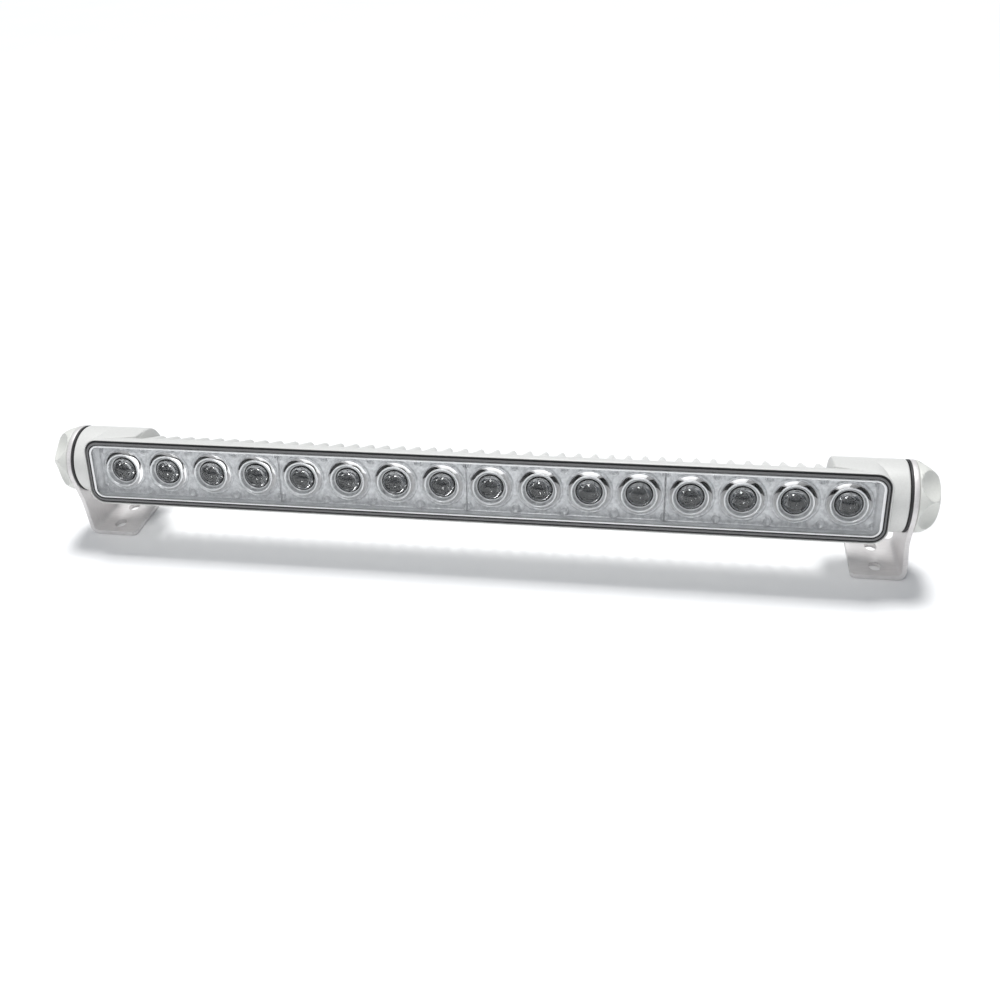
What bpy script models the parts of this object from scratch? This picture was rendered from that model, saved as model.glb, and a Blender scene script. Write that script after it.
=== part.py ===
"""LED light bar on two adjustable feet.

A die-cast housing with cooling fins along its back holds one row of light
engines behind a clear cover.  At each end the housing is a round barrel, and a
stainless L-shaped foot is clamped against the barrel's end face by a hand knob.

Frame: +X along the bar, +Y away from the lit side, +Z up.  The origin is on the
mounting surface, at the centre of the object's footprint.  Lengths in the
tables below are millimetres.
"""

import math

import bmesh
import bpy
from mathutils import Vector

MM = 0.001
GAP = 0.3                       # clearance between pieces that touch
SEAT_GAP = 0.2                  # the same under screw heads, soldered parts and washers
PAST = 3.0                      # how far a cutter runs beyond the face it opens
FAR_PAST = 20.0                 # the same for the outlines that trim each foot
SMOOTH_ANGLE = 30               # degrees; sharper edges stay hard
KNOB_SMOOTH_ANGLE = 32

# Lamp: depths run backwards from the tilt axis, heights run up from it
TILT = math.radians(11.0)       # the lit side looks slightly upwards
AXIS_HEIGHT = 54.9
LED_COUNT = 16
LED_PITCH = 30.9
MODULE_LEDS = 4
MODULE_COUNT = LED_COUNT // MODULE_LEDS
MODULE_LENGTH = MODULE_LEDS * LED_PITCH

FRAME_LENGTH = 510.2
FRAME_HEIGHT = 45.2
FRAME_RADIUS = 10.0
FRAME_FRONT = -24.5
FRAME_BACK = -17.7
GASKET_LENGTH = 508.0
GASKET_HEIGHT = 43.2
GASKET_RADIUS = 9.0
GASKET_END_WIDTH = 2.4          # at the bar's ends
GASKET_SIDE_WIDTH = 3.2         # along its top and bottom
COVER_FRONT = -24.9
COVER_THICKNESS = 3.0
SEAT_DEPTH = -21.3
SEAT_CLEARANCE = 0.25

BARREL_RADIUS = 22.25
BARREL_INNER = 221.9
BARREL_END = 265.6
CORE_HALF_LENGTH = 224.0
SHOULDER_DROP = 0.02            # keeps the shoulder just inside the barrel's crown
SHOULDER_INSET = 0.5
SHOULDER_FRONT = FRAME_BACK - 1.0       # rooted in the front frame
SHOULDER_BACK = -0.4
TRAY_HALF_LENGTH = 251.5
TRAY_HALF_HEIGHT = 18.0
TRAY_FLOOR = -3.4
TRAY_FLOOR_HALF_HEIGHT = 13.2
TRAY_TAPER_START = -14.0

FIN_COUNT = 42
FIN_PITCH = 10.5
FIN_ROOT = 5.6
FIN_TIP = 1.6
FIN_BACK = 14.5
FIN_CREST = ((-17.7, 21.7), (9.0, 15.2), (12.7, 12.6), (FIN_BACK, 8.0))     # (depth, half height)
FIN_HIDDEN_START = (-18.3, 20.2)
CORE_PROFILE = ((-18.2, 22.2), (2.0, 13.6), (4.0, 11.0))

MODULE_FRONT = -17.0
MODULE_BACK = -6.5
MODULE_FRONT_HALF_HEIGHT = 17.5
MODULE_BACK_HALF_HEIGHT = 14.0
SCREW_RELIEF_RADIUS = 3.1
POCKET_RADIUS = 13.0
POCKET_BACK_RADIUS = 6.0
OPTIC_RADIUS = 11.15
OPTIC_FRONT = -20.6
OPTIC_RIM_DEPTH = 1.0           # straight part of the rim
DOME_RADIUS = 8.2
DOME_SEAT = -17.5
DOME_FRONT = -21.4
DOME_FLARE = 0.9                # the recess round the dome opens by this much
DOME_SHOULDER_DEPTH = 1.1
DOME_SHOULDER_SHARE = 0.6       # of the dome's radius
COLLAR_RADIUS = 5.7
COLLAR_FRONT = -8.4
EMITTER_HOLLOW_RADIUS = 2.6

BOARD_FRONT = -6.2
BOARD_BACK = -4.7
BOARD_HALF_HEIGHT = 12.0
EMITTER_RADIUS = 2.0
EMITTER_HEIGHT = 0.9
EMITTER_ROOT = 0.4              # depth of its joint with the board
EMITTER_CLEARANCE = 0.5
PAD_FRONT = -4.4
PAD_BACK = -3.7
PAD_END_MARGIN = 1.0
PAD_SIDE_MARGIN = 0.5
SCREW_RADIUS = 1.5
SCREW_HOLE_RADIUS = 1.9
SCREW_HEAD_RADIUS = 2.7
SCREW_HEAD_FRONT = -8.2
SCREW_HEAD_CHAMFER = 0.6
SCREW_END = 1.0

CHAMBER_INNER = 226.0
CHAMBER_OUTER = 248.0
CHAMBER_BACK = 15.0
CHAMBER_HALF_HEIGHT = 11.0
DRIVER_FRONT = 4.0
DRIVER_BACK = 5.6
DRIVER_MARGIN = 0.6
# name, radius, front and height above the axis
DRIVER_PARTS = (("driver_choke", 4.4, -1.6, 5.0), ("driver_capacitor", 4.0, -2.6, -5.0))

# Rear fittings: (place along the bar, height) of each, its boss and its bore
GLAND_PLACE = (-240.0, -4.6)
GLAND_BOSS_RADIUS = 9.0
GLAND_BORE_RADIUS = 6.3
GLAND_END = 38.1
GLAND_TIP_RADIUS = 6.4
VENT_PLACE = (240.0, 0.0)
VENT_BOSS_RADIUS = 6.8
VENT_BORE_RADIUS = 3.3
BOSS_START = 12.0
BOSS_END = 22.2
BORE_CLEARANCE = 0.25
FITTING_START = 14.0            # threaded shanks end inside the chamber wall
# (depth, radius) profiles, turned about the depth axis
GLAND_BODY = (
    (FITTING_START, 3.2), (FITTING_START, 6.0), (BARREL_RADIUS + GAP, 6.0),
    (BARREL_RADIUS + GAP, 8.4), (26.0, 8.4), (26.0, 5.6), (33.0, 5.6), (33.0, 4.4), (27.0, 4.4),
    (27.0, 3.2),
)
GLAND_NUT = (
    (26.3, 5.9), (26.3, 8.0), (34.0, 8.0), (GLAND_END, GLAND_TIP_RADIUS), (GLAND_END, 3.4), (33.8, 3.4),
    (33.8, 5.9),
)
GLAND_PLUG = (4.1, 27.3, 33.4)  # radius, start, end
VENT_PLUG = (
    (FITTING_START, 0.0), (FITTING_START, 3.0), (BARREL_RADIUS + GAP, 3.0),
    (BARREL_RADIUS + GAP, 6.2), (24.4, 6.2), (25.2, 5.2), (25.2, 0.0),
)

# Clamp stack, measured outwards along the tilt axis
RING_START = BARREL_END + GAP
RING_END = 267.2
RING_BORE = 12.0
RING_RADIUS = BARREL_RADIUS - 0.05
EYE_START = 267.5
SHEET = 2.8
EYE_END = EYE_START + SHEET
WASHER_START = EYE_END + SEAT_GAP
WASHER_THICKNESS = 0.8
WASHER_END = WASHER_START + WASHER_THICKNESS
WASHER_BORE = 4.6
WASHER_RADIUS = 17.0
KNOB_START = EYE_END + GAP
KNOB_RECESS = WASHER_END + SEAT_GAP - KNOB_START     # the knob's rim stands round the washer
KNOB_RECESS_RADIUS = WASHER_RADIUS + 0.4
KNOB_END = 285.5
KNOB_RADIUS = 22.0
KNOB_EDGE_DEPTH = 0.8           # chamfer of the knob's rim
KNOB_EDGE_INSET = 0.6
KNOB_SCOOPS = 6
KNOB_SCOOP_PHASE = math.radians(42.0)
SCOOP_CENTRE = 286.0            # each scoop is the wall of a ball centred off the corner
SCOOP_REACH = 27.3
SCOOP_RADIUS = 15.2
SCOOP_AIM = 270.5               # the skin is pushed towards this point of the axis
SKIN_START = 1.8
DOME_STEPS = 8
DOME_START = 3.9                # height of the knob's straight rim
DOME_RISE = 1.25
DOME_FALL = 0.62
SOCKET_RADIUS = 8.3             # holds the stud's head
SOCKET_DEPTH = 9.9
STUD_RADIUS = 3.95
STUD_START = 255.0
STUD_HEAD_RADIUS = 8.0
STUD_HEAD_HEIGHT = 7.5
STUD_HEAD_INSET = 0.5           # between the knob's recess and the head
STUD_CHAMFER = 0.6
INSERT_BORE = 4.25
INSERT_RADIUS = 6.0
INSERT_START = 253.8
INSERT_END = BARREL_END - SEAT_GAP

# Feet, in upright coordinates with depths from the tilt axis
FOOT_INNER = 240.5
FOOT_OUTER = 273.4
FOOT_FRONT = -12.0
FOOT_BACK = 29.0
FOOT_CORNER = 3.5
FOOT_SHOULDER = 8.0             # the upright narrows towards its eye above this height
BEND_RADIUS = 5.5
LEAN_START = 8.0                # between these heights the leg leans in to its eye
LEAN_END = 32.4
EYE_RADIUS = 22.2
EYE_BORE = 4.5
UPRIGHT_START = EYE_START - 1.0         # the flange's plan ends short of the eye
SLOT_X = 256.0
SLOT_Y = (-2.0, 19.5)
SLOT_WIDTH = 7.4
SLOT_LENGTH = 9.0
SLOT_FLAT = 0.01                # keeps the two round ends of a slot apart

# The footprint is centred on Y = 0
FRONT_REACH = COVER_FRONT * math.cos(TILT) - GASKET_HEIGHT / 2 * math.sin(TILT)
GLAND_CREST = GLAND_PLACE[1] + GLAND_TIP_RADIUS
BACK_REACH = GLAND_END * math.cos(TILT) + GLAND_CREST * math.sin(TILT)
AXIS_Y = -(FRONT_REACH + BACK_REACH) / 2

COLOURS = {
    "white_paint": ((0.80, 0.80, 0.77), 0.38, 0.0),
    "white_plastic": ((0.78, 0.78, 0.74), 0.45, 0.0),
    "clear_plastic": ((0.90, 0.92, 0.93), 0.08, 0.0),
    "black_rubber": ((0.02, 0.02, 0.02), 0.75, 0.0),
    "silvered_plastic": ((0.62, 0.62, 0.63), 0.28, 1.0),
    "circuit_board": ((0.85, 0.85, 0.82), 0.50, 0.0),
    "thermal_pad": ((0.35, 0.40, 0.48), 0.80, 0.0),
    "stainless": ((0.60, 0.58, 0.57), 0.32, 1.0),
    "brass": ((0.62, 0.48, 0.20), 0.35, 1.0),
    "dark_plastic": ((0.04, 0.04, 0.045), 0.50, 0.0),
}


def clear_scene():
    for item in list(bpy.data.objects):
        bpy.data.objects.remove(item, do_unlink=True)


def material(name):
    found = bpy.data.materials.get(name)
    if found:
        return found
    colour, roughness, metallic = COLOURS[name]
    made = bpy.data.materials.new(name)
    made.use_nodes = True
    shader = made.node_tree.nodes["Principled BSDF"]
    shader.inputs["Base Color"].default_value = (*colour, 1.0)
    shader.inputs["Roughness"].default_value = roughness
    shader.inputs["Metallic"].default_value = metallic
    return made


def empty(name, location, tilt=0.0, parent=None):
    made = bpy.data.objects.new(name, None)
    made.location = location
    made.rotation_euler = (tilt, 0.0, 0.0)
    made.parent = parent
    bpy.context.collection.objects.link(made)
    return made


def solid(name, vertices, faces):
    """An object from points in millimetres, with its faces turned outwards."""
    mesh = bpy.data.meshes.new(name)
    mesh.from_pydata([Vector(point) * MM for point in vertices], [], faces)
    work = bmesh.new()
    work.from_mesh(mesh)
    bmesh.ops.recalc_face_normals(work, faces=work.faces)
    work.to_mesh(mesh)
    work.free()
    made = bpy.data.objects.new(name, mesh)
    bpy.context.collection.objects.link(made)
    return made


def finish_piece(piece, material_name, parent, smooth_angle=None):
    piece.data.materials.clear()
    piece.data.materials.append(material(material_name))
    if smooth_angle:
        piece.data.shade_smooth()
        piece.data.set_sharp_from_angle(angle=math.radians(smooth_angle))
    piece.parent = parent
    return piece


def boolean(piece, tool, operation):
    """Apply one Boolean and drop the tool."""
    modifier = piece.modifiers.new("boolean", "BOOLEAN")
    modifier.operation = operation
    modifier.object = tool
    graph = bpy.context.evaluated_depsgraph_get()
    result = bpy.data.meshes.new_from_object(piece.evaluated_get(graph))
    piece.modifiers.clear()
    piece.data = result
    bpy.data.objects.remove(tool, do_unlink=True)
    return piece


def joined(name, pieces):
    """One object out of several bodies that do not touch each other."""
    work = bmesh.new()
    for piece in pieces:
        work.from_mesh(piece.data)
        bpy.data.objects.remove(piece, do_unlink=True)
    mesh = bpy.data.meshes.new(name)
    work.to_mesh(mesh)
    work.free()
    made = bpy.data.objects.new(name, mesh)
    bpy.context.collection.objects.link(made)
    return made


def arc(centre, radius, start, end, steps):
    """Points on an arc, angles in degrees."""
    points = []
    for step in range(steps + 1):
        angle = math.radians(start + (end - start) * step / steps)
        points.append((centre[0] + radius * math.cos(angle), centre[1] + radius * math.sin(angle)))
    return points


def rounded_rectangle(length, height, radius, steps=5, centre=(0.0, 0.0)):
    points = []
    for corner, (side_x, side_y) in enumerate(((1, 1), (-1, 1), (-1, -1), (1, -1))):
        middle = (centre[0] + side_x * (length / 2 - radius), centre[1] + side_y * (height / 2 - radius))
        points += arc(middle, radius, 90 * corner, 90 * corner + 90, steps)
    return points


def prism(name, outline, start, end, axis):
    """Extrude an outline from start to end along one axis.

    The outline's two coordinates are the two other axes, in X, Y, Z order.
    """
    def place(point, along):
        values = list(point)
        values.insert("XYZ".index(axis), along)
        return tuple(values)

    count = len(outline)
    vertices = [place(point, start) for point in outline] + [place(point, end) for point in outline]
    faces = [tuple(range(count)), tuple(range(count, 2 * count))]
    for index in range(count):
        following = (index + 1) % count
        faces.append((index, following, following + count, index + count))
    return solid(name, vertices, faces)


def box(name, low, high):
    outline = [(low[0], low[1]), (high[0], low[1]), (high[0], high[1]), (low[0], high[1])]
    return prism(name, outline, low[2], high[2], "Z")


def turned(name, profile, segments, axis, centre=(0.0, 0.0), closed=False, phase=0.0):
    """Spin a profile of (along, radius) points round an axis.

    The centre gives the two other coordinates, in X, Y, Z order.  A closed
    profile makes a ring; an open one starts and ends on the axis.
    """
    slot = "XYZ".index(axis)

    def place(along, radius, angle):
        values = [centre[0] + radius * math.cos(angle), centre[1] + radius * math.sin(angle)]
        values.insert(slot, along)
        return tuple(values)

    angles = [phase + math.tau * step / segments for step in range(segments)]
    vertices = []
    rows = []
    for along, radius in profile:
        if radius == 0.0:
            rows.append([len(vertices)] * segments)
            vertices.append(place(along, 0.0, 0.0))
        else:
            rows.append(list(range(len(vertices), len(vertices) + segments)))
            vertices += [place(along, radius, angle) for angle in angles]
    faces = []
    pairs = list(zip(rows, rows[1:]))
    if closed:
        pairs.append((rows[-1], rows[0]))
    for first, second in pairs:
        for step in range(segments):
            following = (step + 1) % segments
            ring = (first[step], first[following], second[following], second[step])
            faces.append(tuple(dict.fromkeys(ring)))
    return solid(name, vertices, faces)


def disc(name, radius, start, end, segments, axis, centre=(0.0, 0.0), phase=0.0):
    profile = [(start, 0.0), (start, radius), (end, radius), (end, 0.0)]
    return turned(name, profile, segments, axis, centre, phase=phase)


def tube(name, inner, outer, start, end, segments, axis, centre=(0.0, 0.0)):
    profile = [(start, inner), (start, outer), (end, outer), (end, inner)]
    return turned(name, profile, segments, axis, centre, closed=True)


def led_x(index):
    return (index - (LED_COUNT - 1) / 2) * LED_PITCH


def module_x(index):
    return (index - (MODULE_COUNT - 1) / 2) * MODULE_LENGTH


def screw_places():
    """Two screws hold each circuit board, between its outer pairs of lights."""
    places = []
    for module in range(MODULE_COUNT):
        places.append(module_x(module) - LED_PITCH)
        places.append(module_x(module) + LED_PITCH)
    return places


def mirrored(half_profile):
    """The same points below the axis, in the order that closes the outline."""
    return [(depth, -height) for depth, height in reversed(half_profile)]


def make_fins():
    """Upright blades, thick at the front frame and thin at their round backs."""
    half_profile = [FIN_HIDDEN_START, *FIN_CREST]
    profile = half_profile + mirrored(half_profile)
    fins = []
    for index in range(FIN_COUNT):
        middle = (index - (FIN_COUNT - 1) / 2) * FIN_PITCH
        count = len(profile)
        vertices = []
        for side in (-1, 1):
            for depth, height in profile:
                share = (depth - FRAME_BACK) / (FIN_BACK - FRAME_BACK)
                half_width = (FIN_ROOT + (FIN_TIP - FIN_ROOT) * max(share, 0.0)) / 2
                vertices.append((middle + side * half_width, depth, height))
        faces = [tuple(range(count)), tuple(range(count, 2 * count))]
        for step in range(count):
            following = (step + 1) % count
            faces.append((step, following, following + count, step + count))
        fins.append(solid("fin", vertices, faces))
    return joined("fins", fins)


def make_shoulder(side):
    """Fills the space between the front frame and the barrel's crown."""
    height = BARREL_RADIUS - SHOULDER_DROP
    reach = FRAME_LENGTH / 2 - SHOULDER_INSET
    corner = (reach - FRAME_RADIUS, height - FRAME_RADIUS)
    upper = arc(corner, FRAME_RADIUS, 0, 90, 4)
    outline = upper + [(BARREL_INNER, height), (BARREL_INNER, -height)]
    outline += [(x, -z) for x, z in reversed(upper)]
    outline = [(side * x, z) for x, z in outline]
    return prism("shoulder", outline, SHOULDER_FRONT, SHOULDER_BACK, "Y")


def make_housing(lamp):
    front_outline = rounded_rectangle(FRAME_LENGTH, FRAME_HEIGHT, FRAME_RADIUS)
    housing = prism("housing", front_outline, FRAME_FRONT, FRAME_BACK, "Y")
    core_outline = list(CORE_PROFILE) + mirrored(CORE_PROFILE)
    core = prism("core", core_outline, -CORE_HALF_LENGTH, CORE_HALF_LENGTH, "X")
    boolean(housing, core, "UNION")
    for side in (-1, 1):
        barrel = disc("barrel", BARREL_RADIUS, side * BARREL_INNER, side * BARREL_END, 40, "X")
        boolean(housing, barrel, "UNION")
        boolean(housing, make_shoulder(side), "UNION")
    boolean(housing, make_fins(), "UNION")
    bosses = []
    for radius, centre in ((GLAND_BOSS_RADIUS, GLAND_PLACE), (VENT_BOSS_RADIUS, VENT_PLACE)):
        bosses.append(disc("boss", radius, BOSS_START, BOSS_END, 24, "Y", centre))
    boolean(housing, joined("bosses", bosses), "UNION")

    seat_length = GASKET_LENGTH + 2 * SEAT_CLEARANCE
    seat_height = GASKET_HEIGHT + 2 * SEAT_CLEARANCE
    seat_outline = rounded_rectangle(seat_length, seat_height, GASKET_RADIUS + SEAT_CLEARANCE)
    seat = prism("seat", seat_outline, FRAME_FRONT - PAST, SEAT_DEPTH, "Y")
    boolean(housing, seat, "DIFFERENCE")
    upper = [(SEAT_DEPTH - PAST, TRAY_HALF_HEIGHT), (TRAY_TAPER_START, TRAY_HALF_HEIGHT)]
    upper += [(TRAY_FLOOR, TRAY_FLOOR_HALF_HEIGHT)]
    tray_outline = upper + mirrored(upper)
    tray = prism("tray", tray_outline, -TRAY_HALF_LENGTH, TRAY_HALF_LENGTH, "X")
    boolean(housing, tray, "DIFFERENCE")

    cutters = []
    for side in (-1, 1):
        near, far = sorted((side * CHAMBER_INNER, side * CHAMBER_OUTER))
        low = (near, TRAY_FLOOR - PAST, -CHAMBER_HALF_HEIGHT)
        cutters.append(box("chamber", low, (far, CHAMBER_BACK, CHAMBER_HALF_HEIGHT)))
        bore_start = side * (INSERT_START - GAP)
        bore_end = side * (BARREL_END + PAST)
        cutters.append(disc("bore", INSERT_RADIUS + BORE_CLEARANCE, bore_start, bore_end, 16, "X"))
    boolean(housing, joined("end_cutters", cutters), "DIFFERENCE")
    cutters = []
    for radius, centre in ((GLAND_BORE_RADIUS, GLAND_PLACE), (VENT_BORE_RADIUS, VENT_PLACE)):
        start = CHAMBER_BACK - PAST
        cutters.append(disc("rear_hole", radius, start, BARREL_RADIUS + PAST, 20, "Y", centre))
    radius = SCREW_RADIUS + BORE_CLEARANCE
    for place in screw_places():
        centre = (place, 0.0)
        cutters.append(disc("screw_hole", radius, TRAY_FLOOR - PAST, SCREW_END + GAP, 8, "Y", centre))
    boolean(housing, joined("hole_cutters", cutters), "DIFFERENCE")
    finish_piece(housing, "white_paint", lamp, SMOOTH_ANGLE)


def make_cover(lamp):
    length = GASKET_LENGTH - 2 * GASKET_END_WIDTH - 2 * GAP
    height = GASKET_HEIGHT - 2 * GASKET_SIDE_WIDTH - 2 * GAP
    radius = GASKET_RADIUS - GASKET_END_WIDTH
    outline = rounded_rectangle(length, height, radius - GAP)
    cover = prism("cover_lens", outline, COVER_FRONT, COVER_FRONT + COVER_THICKNESS, "Y")
    finish_piece(cover, "clear_plastic", lamp, SMOOTH_ANGLE)

    outer = rounded_rectangle(GASKET_LENGTH, GASKET_HEIGHT, GASKET_RADIUS)
    inner_length = GASKET_LENGTH - 2 * GASKET_END_WIDTH
    inner_height = GASKET_HEIGHT - 2 * GASKET_SIDE_WIDTH
    inner = rounded_rectangle(inner_length, inner_height, radius)
    count = len(outer)
    vertices = []
    back = SEAT_DEPTH - GAP
    for outline, depth in ((outer, COVER_FRONT), (inner, COVER_FRONT), (inner, back), (outer, back)):
        vertices += [(x, depth, z) for x, z in outline]
    faces = []
    for ring in range(4):
        for index in range(count):
            following = (index + 1) % count
            here = ring * count
            beyond = (ring + 1) % 4 * count
            faces.append((here + index, here + following, beyond + following, beyond + index))
    gasket = solid("lens_gasket", vertices, faces)
    finish_piece(gasket, "black_rubber", lamp, SMOOTH_ANGLE)


def make_optic_modules(lamp):
    """Silvered plates, each with a flared pocket round every light."""
    for module in range(MODULE_COUNT):
        middle = module_x(module)
        half_length = MODULE_LENGTH / 2 - GAP / 2
        half_outline = [(MODULE_FRONT, MODULE_FRONT_HALF_HEIGHT), (MODULE_BACK, MODULE_BACK_HALF_HEIGHT)]
        outline = half_outline + mirrored(half_outline)
        name = f"optic_module_{module + 1}"
        plate = prism(name, outline, middle - half_length, middle + half_length, "X")
        cutters = []
        slope = (POCKET_RADIUS - POCKET_BACK_RADIUS) / (MODULE_BACK - MODULE_FRONT)
        for light in range(MODULE_LEDS):
            centre = (led_x(module * MODULE_LEDS + light), 0.0)
            profile = [(MODULE_FRONT - PAST, 0.0), (MODULE_FRONT - PAST, POCKET_RADIUS + slope * PAST)]
            profile += [(MODULE_BACK, POCKET_BACK_RADIUS), (MODULE_BACK + PAST, POCKET_BACK_RADIUS)]
            profile += [(MODULE_BACK + PAST, 0.0)]
            cutters.append(turned("pocket", profile, 14, "Y", centre))
        for side in (-1, 1):
            centre = (middle + side * LED_PITCH, 0.0)
            start = SCREW_HEAD_FRONT - GAP
            cutters.append(disc("relief", SCREW_RELIEF_RADIUS, start, MODULE_BACK + PAST, 8, "Y", centre))
        boolean(plate, joined("pockets", cutters), "DIFFERENCE")
        finish_piece(plate, "silvered_plastic", lamp, SMOOTH_ANGLE)


def make_optics(lamp):
    """Clear collimators: a cone with a flat front rim and a domed centre."""
    profile = [(MODULE_BACK, 0.0), (MODULE_BACK, COLLAR_RADIUS), (COLLAR_FRONT, COLLAR_RADIUS)]
    profile += [(OPTIC_FRONT + OPTIC_RIM_DEPTH, OPTIC_RADIUS), (OPTIC_FRONT, OPTIC_RADIUS)]
    profile += [(OPTIC_FRONT, DOME_RADIUS + DOME_FLARE), (DOME_SEAT, DOME_RADIUS)]
    profile += [(DOME_FRONT + DOME_SHOULDER_DEPTH, DOME_RADIUS * DOME_SHOULDER_SHARE), (DOME_FRONT, 0.0)]
    shape = turned("optic_shape", profile, 10, "Y")
    hollow_end = BOARD_FRONT - EMITTER_HEIGHT - EMITTER_CLEARANCE
    hollow = disc("hollow", EMITTER_HOLLOW_RADIUS, MODULE_BACK + PAST, hollow_end, 8, "Y")
    boolean(shape, hollow, "DIFFERENCE")
    for light in range(LED_COUNT):
        optic = bpy.data.objects.new(f"optic_{light + 1:02d}", shape.data)
        bpy.context.collection.objects.link(optic)
        optic.location = (led_x(light) * MM, 0.0, 0.0)
        finish_piece(optic, "clear_plastic", lamp, SMOOTH_ANGLE)
    bpy.data.objects.remove(shape, do_unlink=True)


def make_boards(lamp):
    """A circuit board behind each plate, carrying one emitter per light."""
    for module in range(MODULE_COUNT):
        middle = module_x(module)
        half_length = MODULE_LENGTH / 2 - GAP / 2
        low = (middle - half_length, BOARD_FRONT, -BOARD_HALF_HEIGHT)
        high = (middle + half_length, BOARD_BACK, BOARD_HALF_HEIGHT)
        board = box(f"led_board_{module + 1}", low, high)
        emitters = []
        for light in range(MODULE_LEDS):
            centre = (led_x(module * MODULE_LEDS + light), 0.0)
            front = BOARD_FRONT - EMITTER_HEIGHT
            root = BOARD_FRONT + EMITTER_ROOT
            emitters.append(disc("emitter", EMITTER_RADIUS, front, root, 8, "Y", centre))
        boolean(board, joined("emitters", emitters), "UNION")
        holes = []
        for side in (-1, 1):
            centre = (middle + side * LED_PITCH, 0.0)
            start = BOARD_FRONT - PAST
            holes.append(disc("hole", SCREW_HOLE_RADIUS, start, BOARD_BACK + PAST, 8, "Y", centre))
        boolean(board, joined("holes", holes), "DIFFERENCE")
        finish_piece(board, "circuit_board", lamp)

    half_length = MODULE_LENGTH * MODULE_COUNT / 2 - PAD_END_MARGIN
    half_height = BOARD_HALF_HEIGHT - PAD_SIDE_MARGIN
    low = (-half_length, PAD_FRONT, -half_height)
    pad = box("thermal_pad", low, (half_length, PAD_BACK, half_height))
    holes = []
    for place in screw_places():
        centre = (place, 0.0)
        start = PAD_FRONT - PAST
        holes.append(disc("hole", SCREW_HOLE_RADIUS, start, PAD_BACK + PAST, 8, "Y", centre))
    boolean(pad, joined("holes", holes), "DIFFERENCE")
    finish_piece(pad, "thermal_pad", lamp)

    for number, place in enumerate(screw_places()):
        seat = BOARD_FRONT - SEAT_GAP
        profile = [(SCREW_HEAD_FRONT, 0.0), (SCREW_HEAD_FRONT, SCREW_HEAD_RADIUS - SCREW_HEAD_CHAMFER)]
        profile += [(SCREW_HEAD_FRONT + SCREW_HEAD_CHAMFER, SCREW_HEAD_RADIUS)]
        profile += [(seat, SCREW_HEAD_RADIUS), (seat, SCREW_RADIUS)]
        profile += [(SCREW_END, SCREW_RADIUS), (SCREW_END, 0.0)]
        screw = turned(f"board_screw_{number + 1}", profile, 8, "Y", (place, 0.0))
        finish_piece(screw, "stainless", lamp, SMOOTH_ANGLE)


def make_driver(lamp):
    """The power electronics, in the chamber behind the last light."""
    middle = -(CHAMBER_INNER + CHAMBER_OUTER) / 2
    half_height = CHAMBER_HALF_HEIGHT - DRIVER_MARGIN
    low = (-CHAMBER_OUTER + DRIVER_MARGIN, DRIVER_FRONT, -half_height)
    high = (-CHAMBER_INNER - DRIVER_MARGIN, DRIVER_BACK, half_height)
    finish_piece(box("driver_board", low, high), "circuit_board", lamp)
    seat = DRIVER_FRONT - SEAT_GAP
    for name, radius, front, height in DRIVER_PARTS:
        part = disc(name, radius, front, seat, 16, "Y", (middle, height))
        finish_piece(part, "dark_plastic", lamp, SMOOTH_ANGLE)


def make_rear_fittings(lamp):
    """Cable gland with a blanking plug on one barrel, breather on the other."""
    body = turned("gland_body", GLAND_BODY, 12, "Y", GLAND_PLACE, closed=True)
    finish_piece(body, "white_plastic", lamp, SMOOTH_ANGLE)
    plug = disc("gland_plug", *GLAND_PLUG, 12, "Y", GLAND_PLACE)
    finish_piece(plug, "black_rubber", lamp, SMOOTH_ANGLE)
    nut = turned("gland_nut", GLAND_NUT, 12, "Y", GLAND_PLACE, closed=True)
    finish_piece(nut, "white_plastic", lamp, SMOOTH_ANGLE)
    vent = turned("vent_plug", VENT_PLUG, 12, "Y", VENT_PLACE)
    finish_piece(vent, "dark_plastic", lamp, SMOOTH_ANGLE)


def scooped(point, side):
    """Move a point of the knob's skin inwards to the wall of a finger scoop."""
    x, y, z = point
    core = Vector((side * SCOOP_AIM, 0.0, 0.0))
    best = Vector(point)
    for scoop in range(KNOB_SCOOPS):
        angle = KNOB_SCOOP_PHASE + math.tau * scoop / KNOB_SCOOPS
        swing = Vector((0.0, -math.cos(angle), math.sin(angle))) * SCOOP_REACH
        centre = Vector((side * SCOOP_CENTRE, 0.0, 0.0)) + swing
        if (best - centre).length >= SCOOP_RADIUS:
            continue
        ray = (core - best).normalized()
        offset = best - centre
        middle = offset.dot(ray)
        travel = -middle + math.sqrt(middle ** 2 - offset.length_squared + SCOOP_RADIUS ** 2)
        best = best + ray * travel
    return tuple(best)


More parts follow.
